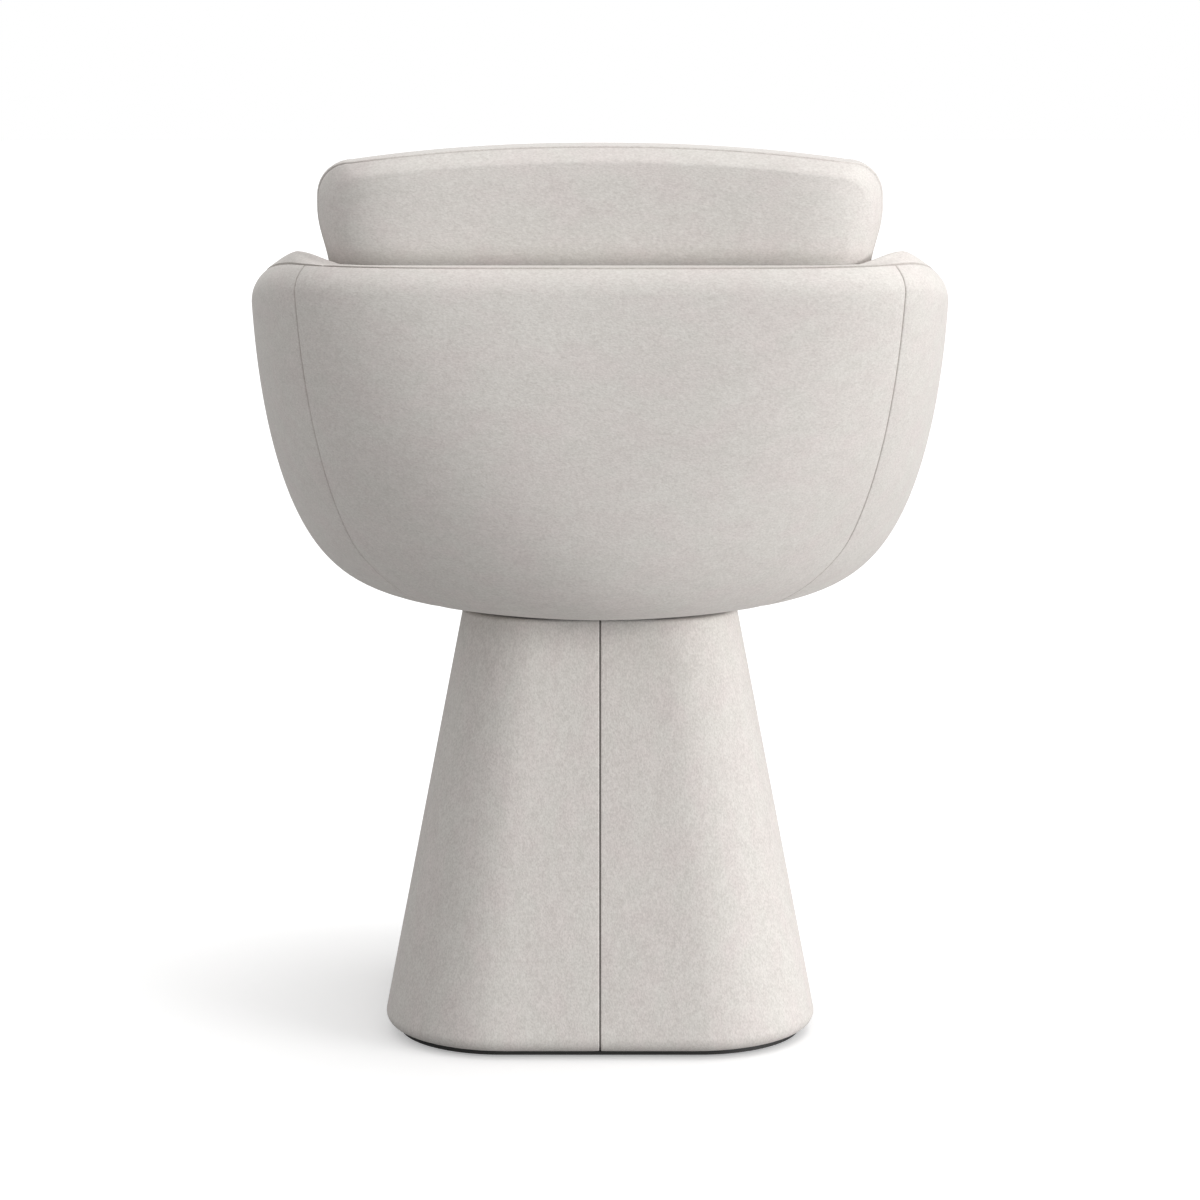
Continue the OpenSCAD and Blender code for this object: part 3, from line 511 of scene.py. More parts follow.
class Signal:
    """A number that changes over a surface: a shader socket that takes Python's operators."""

    def __init__(self, sheet: "NodeSheet", socket: bpy.types.NodeSocket) -> None:
        """Wrap a socket of a material's node sheet."""
        self.sheet = sheet
        self.socket = socket

    def _maths(self, operation: str, first: "Signal | float", second: "Signal | float") -> "Signal":
        """Add one Math node and return what it gives."""
        made = self.sheet.node("ShaderNodeMath", {"operation": operation}, {0: first, 1: second})
        return Signal(self.sheet, made.outputs[0])

    def __add__(self, other: "Signal | float") -> "Signal":
        """Add a number or a signal."""
        return self._maths("ADD", self, other)

    def __radd__(self, other: float) -> "Signal":
        """Add this signal to a number."""
        return self._maths("ADD", other, self)

    def __sub__(self, other: "Signal | float") -> "Signal":
        """Take a number or a signal away."""
        return self._maths("SUBTRACT", self, other)

    def __mul__(self, other: "Signal | float") -> "Signal":
        """Multiply by a number or a signal."""
        return self._maths("MULTIPLY", self, other)

    def __rmul__(self, other: float) -> "Signal":
        """Multiply a number by this signal."""
        return self._maths("MULTIPLY", other, self)


class NodeSheet:
    """One material and the nodes in it."""

    def __init__(self, name: str) -> None:
        """Start a material with its usual surface shader.

        Args:
            name: Name of the material.
        """
        self.material = bpy.data.materials.new(name)
        self.material.use_nodes = True
        self.tree = self.material.node_tree
        self.shader = self.tree.nodes["Principled BSDF"]

    def node(
        self,
        kind: str,
        settings: dict[str, object] | None = None,
        inputs: dict[int | str, object] | None = None,
    ) -> bpy.types.Node:
        """Add a node.

        Args:
            kind: Blender's name for the type of node.
            settings: The node's own settings.
            inputs: Values, sockets or signals for its inputs, by number, name or identifier.

        Returns:
            The new node.
        """
        made = self.tree.nodes.new(kind)
        for name, value in (settings or {}).items():
            setattr(made, name, value)
        for name, value in (inputs or {}).items():
            self.feed(made, name, value)
        return made

    def feed(self, node: bpy.types.Node, name: int | str, value: object) -> None:
        """Set an input of a node, or link it to a socket or a signal.

        Args:
            node: The node.
            name: Number, name or identifier of the input.
            value: A value, a socket or a signal.
        """
        if isinstance(name, int):
            socket = node.inputs[name]
        else:
            socket = next(s for s in node.inputs if name in (s.identifier, s.name))
        if isinstance(value, Signal):
            value = value.socket
        if isinstance(value, bpy.types.NodeSocket):
            self.tree.links.new(value, socket)
        elif isinstance(value, tuple) and len(value) == 3 and socket.type == "RGBA":
            socket.default_value = (*value, 1.0)
        else:
            socket.default_value = value

    def surface(self, name: str, value: object) -> None:
        """Set an input of the surface shader."""
        self.feed(self.shader, name, value)

    def place(self, stretch: tuple[float, float, float] = (1.0, 1.0, 1.0)) -> bpy.types.NodeSocket:
        """Return the place on the piece.

        Args:
            stretch: Factor along each axis.

        Returns:
            A socket that gives the place in metres, times the factors.
        """
        where = self.node("ShaderNodeTexCoord").outputs["Object"]
        if stretch == (1.0, 1.0, 1.0):
            return where
        return self.node("ShaderNodeMapping", {}, {"Vector": where, "Scale": stretch}).outputs["Vector"]

    def noise(self, where: bpy.types.NodeSocket, scale: float, detail: float = 2.0) -> Signal:
        """Return soft noise from 0 to 1.

        Args:
            where: The place on the piece.
            scale: Cells to a metre.
            detail: How many finer layers it has.

        Returns:
            The noise.
        """
        made = self.node(
            "ShaderNodeTexNoise", {}, {"Vector": where, "Scale": scale, "Detail": detail, "Roughness": 0.55}
        )
        return Signal(self, made.outputs["Fac"])

    def blend_colours(self, share: Signal | float, low: object, high: object) -> bpy.types.NodeSocket:
        """Blend two colours.

        Args:
            share: Share of the way from the first colour to the second.
            low: The first colour.
            high: The second colour.

        Returns:
            A socket that gives the blend.
        """
        made = self.node(
            "ShaderNodeMix", {"data_type": "RGBA"}, {"Factor_Float": share, "A_Color": low, "B_Color": high}
        )
        return next(s for s in made.outputs if s.identifier == "Result_Color")

    def relief(self, height: Signal, depth: float, strength: float) -> None:
        """Raise the surface by a height from 0 to 1, times a depth in metres."""
        made = self.node("ShaderNodeBump", {}, {"Height": height, "Distance": depth, "Strength": strength})
        self.surface("Normal", made.outputs["Normal"])


@dataclass(frozen=True)
class NappedFabric:
    """Short soft pile in pale greige, mottled where the nap lies one way or the other."""

    name: str
    nap_stretch: tuple[float, float, float] = (0.55, 0.8, 1.0)
    light: Colour = (0.722, 0.694, 0.660)
    shade: Colour = (0.588, 0.560, 0.527)
    warm: Colour = (0.727, 0.676, 0.650)
    warm_shade: Colour = (0.592, 0.545, 0.522)
    contrast: float = 3.2
    cloud_weight: float = 0.35
    tint_contrast: float = 3.2
    tint_start: float = 1.25
    fibre_scale: float = 820.0
    nap_scale: float = 420.0
    mottle_scale: float = 105.0
    cloud_scale: float = 17.0
    tint_scale: float = 42.0
    pile_depth: float = 0.0007
    pile_strength: float = 0.35
    sheen: float = 0.22

    def build(self) -> bpy.types.Material:
        """Make the material.

        Returns:
            The new material.
        """
        sheet = NodeSheet(self.name)
        where = sheet.place(self.nap_stretch)
        fibre = sheet.noise(where, self.fibre_scale, 1.0)
        nap = sheet.noise(where, self.nap_scale, 3.0)
        mottle = sheet.noise(where, self.mottle_scale, 3.0)
        cloud = sheet.noise(where, self.cloud_scale, 3.0)
        pile = 0.5 * fibre + 0.3 * nap + 0.2 * mottle
        tone = self.contrast * (pile - 0.5) + self.cloud_weight * (cloud - 0.5) + 0.5
        warmth = self.tint_contrast * sheet.noise(where, self.tint_scale, 4.0) - self.tint_start
        grey = sheet.blend_colours(tone, self.shade, self.light)
        rosy = sheet.blend_colours(tone, self.warm_shade, self.warm)
        sheet.surface("Base Color", sheet.blend_colours(warmth, grey, rosy))
        sheet.surface("Roughness", 0.82 + 0.14 * pile)
        sheet.surface("Specular IOR Level", 0.25)
        sheet.surface("Sheen Weight", self.sheen)
        sheet.surface("Sheen Roughness", 0.45)
        sheet.surface("Sheen Tint", (1.0, 0.985, 0.965, 1.0))
        sheet.relief(0.6 * fibre + 0.4 * nap, self.pile_depth, self.pile_strength)
        return sheet.material


@dataclass(frozen=True)
class FineGrain:
    """A plain finish with soft noise in its colour, its roughness and its surface."""

    name: str
    light: Colour
    shade: Colour
    rough_low: float
    rough_high: float
    grain_scale: float
    stretch: tuple[float, float, float] = (1.0, 1.0, 1.0)
    metallic: float = 0.0
    depth: float = 0.0002
    strength: float = 0.2

    def build(self) -> bpy.types.Material:
        """Make the material.

        Returns:
            The new material.
        """
        sheet = NodeSheet(self.name)
        where = sheet.place(self.stretch)
        grain = sheet.noise(where, self.grain_scale, 4.0)
        patch = sheet.noise(where, self.grain_scale / 9.0, 2.0)
        tone = 0.65 * grain + 0.35 * patch
        sheet.surface("Base Color", sheet.blend_colours(tone, self.shade, self.light))
        sheet.surface("Roughness", self.rough_low + (self.rough_high - self.rough_low) * patch)
        sheet.surface("Metallic", self.metallic)
        sheet.relief(grain, self.depth, self.strength)
        return sheet.material


@dataclass(frozen=True)
class BirchPly:
    """Raw plywood: grain along the board, and thin glued layers on its edges."""

    name: str
    light: Colour = (0.66, 0.50, 0.33)
    shade: Colour = (0.47, 0.31, 0.17)
    layers_per_metre: float = 700.0

    def build(self) -> bpy.types.Material:
        """Make the material.

        Returns:
            The new material.
        """
        sheet = NodeSheet(self.name)
        grain = sheet.noise(sheet.place((6.0, 90.0, 90.0)), 9.0, 5.0)
        fleck = sheet.noise(sheet.place((1.0, 4.0, 4.0)), 260.0, 2.0)
        height = sheet.node("ShaderNodeSeparateXYZ", {}, {0: sheet.place()}).outputs["Z"]
        layer = Signal(sheet, height) * (self.layers_per_metre * math.pi)
        stripe = Signal(sheet, sheet.node("ShaderNodeMath", {"operation": "SINE"}, {0: layer}).outputs[0])
        tone = 0.7 * grain + 0.2 * fleck + 0.08 * stripe
        sheet.surface("Base Color", sheet.blend_colours(tone, self.shade, self.light))
        sheet.surface("Roughness", 0.62 + 0.2 * fleck)
        sheet.relief(0.6 * grain + 0.4 * fleck, 0.0004, 0.3)
        return sheet.material


@dataclass(frozen=True)
class PaleFloor:
    """Matt studio floor that the camera sees as white, with the object's shadow kept."""

    name: str = "pale_floor"
    seen_colour: Colour = (0.85, 0.85, 0.85)
    bounce_colour: Colour = (0.44, 0.44, 0.44)
    lift: float = 0.325

    def build(self) -> bpy.types.Material:
        """Make the material.

        Returns:
            The new material.
        """
        sheet = NodeSheet(self.name)
        seen = sheet.node("ShaderNodeLightPath").outputs["Is Camera Ray"]
        sheet.surface("Base Color", sheet.blend_colours(seen, self.bounce_colour, self.seen_colour))
        sheet.surface("Roughness", 0.95)
        sheet.surface("Specular IOR Level", 0.0)
        glow = sheet.node("ShaderNodeEmission", {}, {"Color": (1.0, 1.0, 1.0), "Strength": self.lift})
        dark = sheet.node("ShaderNodeEmission", {}, {"Strength": 0.0})
        lift = sheet.node("ShaderNodeMixShader", {}, {0: seen, 1: dark.outputs[0], 2: glow.outputs[0]})
        total = sheet.node("ShaderNodeAddShader", {}, {0: sheet.shader.outputs[0], 1: lift.outputs[0]})
        sheet.feed(sheet.tree.nodes["Material Output"], "Surface", total.outputs[0])
        return sheet.material


def dress(piece: bpy.types.Object, material: bpy.types.Material) -> None:
    """Give a piece its material.

    Args:
        piece: The piece.
        material: Its finish.
    """
    piece.data.materials.clear()
    piece.data.materials.append(material)


@dataclass
class OuterCovers:
    """The foam-backed fabric panels that wrap the tub's shell."""

    form: TubForm
    fabric: bpy.types.Material
    fold: SeamFold = field(default_factory=SeamFold)
    thickness: float = 10.0
    hole_r: float = 102.0
    foot_angle: float = 87.0
    seam_angle: float = 50.0
    seam_gap: float = 0.0034
    wall_rows: int = 44
    nodes: dict[Panel, str] = field(
        default_factory=lambda: {
            Panel.BACK: "outer_back_cover",
            Panel.RIGHT: "outer_right_cover",
            Panel.FRONT: "outer_front_cover",
            Panel.LEFT: "outer_left_cover",
        }
    )

    def surface(self, v: Grid, depth: float) -> Grid:
        """Return a panel's points at a depth under its outside.

        Args:
            v: Columns, as a column vector.
            depth: Depth in millimetres.

        Returns:
            Points in metres, from the hole under the tub to the top seam.
        """
        form = self.form
        rows = np.linspace(0.0, 1.0, self.wall_rows)[None, :]
        w = mix(self.foot_angle, form.shoulder(v), rows)
        wall = form.wall(v, w, depth)
        near = np.array([0.0, 0.9, 1.8, 3.2, 5.5, 9.0, 14.0, 20.0, 27.0, 34.0, 42.0])[::-1][None, :]
        start = -form.lean(form.shoulder(v))
        span = (self.seam_angle - start) / self.seam_angle
        rim = form.rim(v, self.seam_angle - near * span, depth)
        angle = form.column_angle(v, form.foot_share)
        hole = np.stack(
            [self.hole_r * sine(angle), self.hole_r * cosine(angle), np.full_like(v, form.bottom_z + depth)],
            axis=-1,
        )
        return np.concatenate([hole * MM, wall, rim], axis=1)

    def make(self) -> list[bpy.types.Object]:
        """Make the four panels and put each in place of its node.

        Returns:
            The new objects.
        """
        made = []
        for panel, node in self.nodes.items():
            v = panel.columns(self.seam_gap)
            front = self.fold.fold_in(self.surface(v, 0.0), True, [(0, False), (0, True), (1, True)])
            piece = closed_piece(f"{node}_fabric", front, self.surface(v, self.thickness))
            dress(piece, self.fabric)
            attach(piece, "tub")
            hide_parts(node)
            made.append(piece)
        return made


@dataclass
class InnerPads:
    """The padded lining of the tub: back panel, arms and front lip, crowned over the rim."""

    form: TubForm
    fabric: bpy.types.Material
    fold: SeamFold = field(default_factory=SeamFold)
    back_seam: float = 0.857
    seam_gap: float = 0.0004
    low_z: float = 430.3
    seam_angle: float = 50.9
    hidden_depth: float = 23.5
    edge_depth: float = 10.8
    groove_depth: float = 3.0
    hole_angle: float = 62.2
    back_rise: float = 0.5
    arm_rise: float = 10.0
    lip_rise: float = 4.0
    back_inner_r: float = 8.0
    arm_inner_r: float = 34.0
    lip_inner_r: float = 14.0
    arm_start: float = 38.0
    arm_span: float = 17.0
    wall_rows: int = 34
    wall_bend: float = 1.15
    crest_share: float = 0.8
    nodes: dict[Panel, str] = field(
        default_factory=lambda: {
            Panel.BACK: "inner_back_panel",
            Panel.RIGHT: "inner_right_arm_pad",
            Panel.FRONT: "front_lip_pad",
            Panel.LEFT: "inner_left_arm_pad",
        }
    )

    def along_rim(self, v: Grid, back: float, arm: float, lip: float) -> Grid:
        """Return a size that changes along the rim from back to arm to lip."""
        arm_share = ease((self.form.rim_angle(v) - self.arm_start) / self.arm_span)
        return mix(mix(back, arm, arm_share), lip, self.form.front_share(v))

    def lining(self, v: Grid) -> Grid:
        """Return the side that shows, from inside the hollow up and over to the top seam.

        Args:
            v: Columns.

        Returns:
            Points in metres.
        """
        form = self.form
        seam = form.rim(v, self.seam_angle, 0.0)[:, 0, :] / MM
        under = form.rim(v, self.seam_angle, self.edge_depth)[:, 0, :] / MM
        rise = self.along_rim(v, self.back_rise, self.arm_rise, self.lip_rise)
        inner_r = self.along_rim(v, self.back_inner_r, self.arm_inner_r, self.lip_inner_r)
        top_z = seam[:, 2:3] + rise - inner_r
        wall_z = mix(self.low_z, top_z, np.linspace(0.0, 1.0, self.wall_rows)[None, :] ** self.wall_bend)
        edge = form.hollow(v, top_z)[:, 0, :] / MM
        crown = self.crown(seam, under, edge, rise, inner_r)
        return np.concatenate([form.hollow(v, wall_z), crown], axis=1)

    def crown(self, seam: Grid, under: Grid, edge: Grid, rise: Grid, inner_r: Grid) -> Grid:
        """Return the part of the lining that rises over the rim.

        Args:
            seam: Points of the top seam.
            under: Points below the outer covers' edge.
            edge: Points of the hollow's wall at the crown's inner end.
            rise: Height of the crown above the seam, for each column.
            inner_r: Radius of its inner edge, for each column.

        Returns:
            Points in metres, from the hollow to the seam.
        """
        first = np.linalg.norm((seam - under)[:, :2], axis=1)[:, None]
        second = np.linalg.norm((under - edge)[:, :2], axis=1)[:, None]
        across = first + second
        crest = 1.0 - np.minimum(self.crest_share, inner_r / across)
        turn = np.linspace(0.0, 90.0, 12)[None, 1:]
        inner_share = crest + (1.0 - crest) * cosine(turn)
        inner_height = rise - inner_r * (1.0 - sine(turn))
        far_share = np.array([0.92, 0.83, 0.74, 0.64, 0.54, 0.43, 0.32, 0.21, 0.11, 0.03])[None, :]
        outer_share = crest * far_share
        outer_height = rise * (1.0 - (1.0 - far_share) ** 2)
        go = np.concatenate([inner_share, outer_share], axis=1) * across
        height = np.concatenate([inner_height, outer_height], axis=1)
        near = np.clip(go / first, 0.0, 1.0)[:, :, None]
        far = np.clip((go - first) / second, 0.0, 1.0)[:, :, None]
        plan = np.where(
            (go < first)[:, :, None],
            mix(seam[:, None, :2], under[:, None, :2], near),
            mix(under[:, None, :2], edge[:, None, :2], far),
        )
        return np.concatenate([plan, (seam[:, None, 2:3] + height[:, :, None])], axis=2) * MM

    def backing(self, v: Grid) -> Grid:
        """Return the hidden side, along the shell and under the outer covers' edge.

        Args:
            v: Columns.

        Returns:
            Points in metres.
        """
        form = self.form
        shoulder = form.shoulder(v)
        wall_angles = mix(self.hole_angle, shoulder, np.linspace(0.0, 1.0, 10)[None, :])
        wall = form.wall(v, wall_angles, self.hidden_depth)
        rim_angles = mix(-form.lean(shoulder), self.seam_angle, np.linspace(0.3, 1.0, 6)[None, :])
        rim = form.rim(v, rim_angles, self.edge_depth)
        groove = form.rim(v, self.seam_angle + np.zeros_like(v), self.groove_depth)
        return np.concatenate([wall, rim, groove], axis=1)

    def make(self) -> list[bpy.types.Object]:
        """Make the four pads and put each in place of its node.

        Returns:
            The new objects.
        """
        made = []
        for panel, node in self.nodes.items():
            v = panel.columns(self.seam_gap, self.back_seam)
            front = self.fold.fold_in(self.lining(v), False, [(0, False), (0, True)])
            piece = closed_piece(f"{node}_fabric", front, self.backing(v))
            dress(piece, self.fabric)
            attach(piece, "tub")
            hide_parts(node)
            made.append(piece)
        return made


@dataclass
class RingLoft:
    """A closed soft form through rings of points, from one pole to the other."""

    name: str
    rings: Grid
    low: Sequence[float]
    high: Sequence[float]

    def make(self) -> bpy.types.Object:
        """Make the form.

        Returns:
            The new object, whose first two vertices are its poles.
        """
        count, n = self.rings.shape[:2]
        last = 2 + (count - 1) * n
        faces: list[tuple[int, ...]] = []
        for i in range(n):
            k = (i + 1) % n
            faces.append((0, 2 + k, 2 + i))
            faces.append((1, last + i, last + k))
            for j in range(count - 1):
                a = 2 + j * n
                faces.append((a + i, a + k, a + n + k, a + n + i))
        points = np.concatenate([[self.low], [self.high], self.rings.reshape(-1, 3)])
        piece = new_piece(self.name, points, faces)
        smooth(piece)
        return piece

    def sew(self, piece: bpy.types.Object, seams: Sequence[int], fold: SeamFold) -> None:
        """Draw the fabric in along some of the rings, after the form has swelled.

        Args:
            piece: The form.
            seams: Numbers of the rings that are sewn.
            fold: How the fabric turns in there.
        """
        count, n = self.rings.shape[:2]
        points = points_of(piece)
        grid = points[2:].reshape(count, n, 3)
        normals = np.array([vertex.normal for vertex in piece.data.vertices])[2:].reshape(count, n, 3)
        along = distance_along(grid, 0, False)
        depth = np.zeros((count, n))
        for ring in seams:
            depth = np.maximum(depth, fold.depth(np.abs(along - along[ring])))
        points[2:] = (grid - normals * depth[:, :, None]).reshape(-1, 3)
        put_points(piece, points)


@dataclass(frozen=True)
class Stuffing:
    """A cloth simulation that blows a cushion up from inside."""

    voxel: float = 5.0 * MM
    pressure: float = 4.0
    last_frame: int = 20
    neighbours: int = 6
    cap: float = 9.0 * MM

    def swell(self, piece: bpy.types.Object, give: Callable[[Grid], Grid]) -> None:
        """Swell a cushion.

        A remeshed copy is simulated as cloth under pressure, and the cushion's points follow it outwards.

        Args:
            piece: The cushion.
            give: Returns from 0 to 1 how freely the fabric may move at each point.
        """
        scene = bpy.context.scene
        copy = piece.copy()
        copy.data = piece.data.copy()
        scene.collection.objects.link(copy)
        only(copy)
        voxels = copy.modifiers.new("voxels", "REMESH")
        voxels.mode = "VOXEL"
        voxels.voxel_size = self.voxel
        bpy.ops.object.modifier_apply(modifier=voxels.name)
        before = points_of(copy)
        cloth = copy.modifiers.new("cloth", "CLOTH")
        cloth.settings.use_pressure = True
        cloth.settings.uniform_pressure_force = self.pressure
        cloth.settings.effector_weights.gravity = 0.0
        for number in range(1, self.last_frame + 1):
            scene.frame_set(number)
        bpy.ops.object.modifier_apply(modifier=cloth.name)
        moved = points_of(copy) - before
        tree = KDTree(len(before))
        for number, place in enumerate(before):
            tree.insert(place, number)
        tree.balance()
        points = points_of(piece)
        normals = np.array([vertex.normal for vertex in piece.data.vertices])
        shift = np.empty_like(points)
        for number, place in enumerate(points):
            found = tree.find_n(place, self.neighbours)
            weight = np.array([1.0 / (distance + MM) for _, _, distance in found])
            shift[number] = weight @ moved[[index for _, index, _ in found]] / weight.sum()
        outward = np.clip((shift * normals).sum(axis=1), 0.0, self.cap) * give(points)
        put_points(piece, points + normals * outward[:, None])
        bpy.data.objects.remove(copy)
        scene.frame_set(1)


def soft_path(stations: Sequence[Sequence[float]], parts: int) -> Grid:
    """Return a smooth path through stations.

    Args:
        stations: Rows of numbers that the path passes through.
        parts: Steps between two stations.

    Returns:
        The rows of the path.
    """
    rows = np.array(stations, float)
    ends = np.concatenate([[2 * rows[0] - rows[1]], rows, [2 * rows[-1] - rows[-2]]])
    path = []
    for i in range(1, len(ends) - 2):
        before, start, end, after = ends[i - 1 : i + 3]
        for share in np.arange(parts) / parts:
            path.append(
                0.5
                * (
                    2 * start
                    + (end - before) * share
                    + (2 * before - 5 * start + 4 * end - after) * share**2
                    + (3 * start - before - 3 * end + after) * share**3
                )
            )
    path.append(rows[-1])
    return np.array(path)


@dataclass
class SeatCushion:
    """The loose seat cushion, drawn in at its sides and crowned on top."""

    form: TubForm
    fabric: bpy.types.Material
    stuffing: Stuffing = field(default_factory=Stuffing)
    fold: SeamFold = field(default_factory=lambda: SeamFold(1.8 * MM, 0.9 * MM, 9.0 * MM, 1.5 * MM))
    bottom_z: float = 416.3
    top_z: float = 492.3
    side_z: float = 462.3
    low_z: float = 430.3
    edge_r: float = 26.0
    under_inset: float = 24.0
    crown: float = 6.0
    clear: float = 2.2
    open_z: float = 470.3
    open_y: float = 150.0
    columns: int = 232

    def profile(self) -> Grid:
        """Return the cushion's profile from below to the top.

        Returns:
            Rows of height, height of the plan, inset and share of the plan.
        """
        heights = np.array(
            [
                self.bottom_z,
                self.bottom_z + 4.0,
                self.low_z,
                self.low_z + 8.0,
                mix(self.low_z, self.side_z, 0.6),
                self.side_z,
            ]
        )
        insets = np.array(
            [
                self.under_inset,
                self.under_inset / 2.0,
                self.clear + 2.8,
                self.clear + 0.4,
                self.clear + 1.0,
                self.clear,
            ]
        )
        side = soft_path(np.stack([heights, heights, insets, np.ones_like(insets)], axis=1), 6)
        angles = np.concatenate([[1.2, 2.6, 4.5, 7.0], np.linspace(11.0, 80.0, 14)])
        level = self.top_z - self.crown
        turn = np.stack(
            [
                mix(self.side_z, level, sine(angles)),
                np.full_like(angles, self.side_z),
                self.clear + self.edge_r * (1.0 - cosine(angles)),
                np.ones_like(angles),
            ],
            axis=1,
        )
        shares = np.linspace(0.96, 0.04, 24)
        edge_inset = self.clear + self.edge_r
        end_inset = turn[-1, 2]
        tops = np.stack(
            [
                mix(self.top_z, turn[-1, 0], shares**2.2),
                np.full_like(shares, self.side_z),
                np.maximum(end_inset, edge_inset - (edge_inset - end_inset) * shares**4),
                shares,
            ],
            axis=1,
        )
        under = np.array(
            [[self.bottom_z, self.bottom_z, self.under_inset, share] for share in (0.05, 0.35, 0.65, 0.9)]
        )
        return np.concatenate([under, side, turn, tops])

    def give(self, points: Grid) -> Grid:
        """Return how freely the fabric moves: fully on the open top, and not against the walls and the back.

        Args:
            points: Places in metres.

        Returns:
            From 0 to 1 for each of them.
        """
        upper = ease((points[:, 2] / MM - self.open_z) / 16.0)
        ahead = ease((self.open_y - points[:, 1] / MM) / 30.0)
        return upper * ahead

    def make(self) -> bpy.types.Object:
        """Make the cushion and put it in place of its node.

        Returns:
            The new object.
        """
        v = np.arange(self.columns)[:, None] * 8.0 / self.columns
        v = np.where(v > 4.0, v - 8.0, v)
        rows = self.profile()
        rings = []
        for z, plan_z, inset, share in rows:
            ring = self.form.hollow(v, np.full_like(v, plan_z), inset)[:, 0, :]
            ring[:, :2] *= share
            ring[:, 2] = z * MM
            rings.append(ring)
        low = (0.0, 0.0, self.bottom_z * MM)
        high = (0.0, 0.0, self.top_z * MM)
        loft = RingLoft("seat_cushion_fabric", np.array(rings), low, high)
        piece = loft.make()
        self.stuffing.swell(piece, self.give)
        seam = int(np.argmin(np.abs(rows[:, 0] - self.side_z) + (rows[:, 3] < 1.0)))
        loft.sew(piece, [seam], self.fold)
        dress(piece, self.fabric)
        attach(piece, "tub")
        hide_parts("seat_cushion")
        return piece


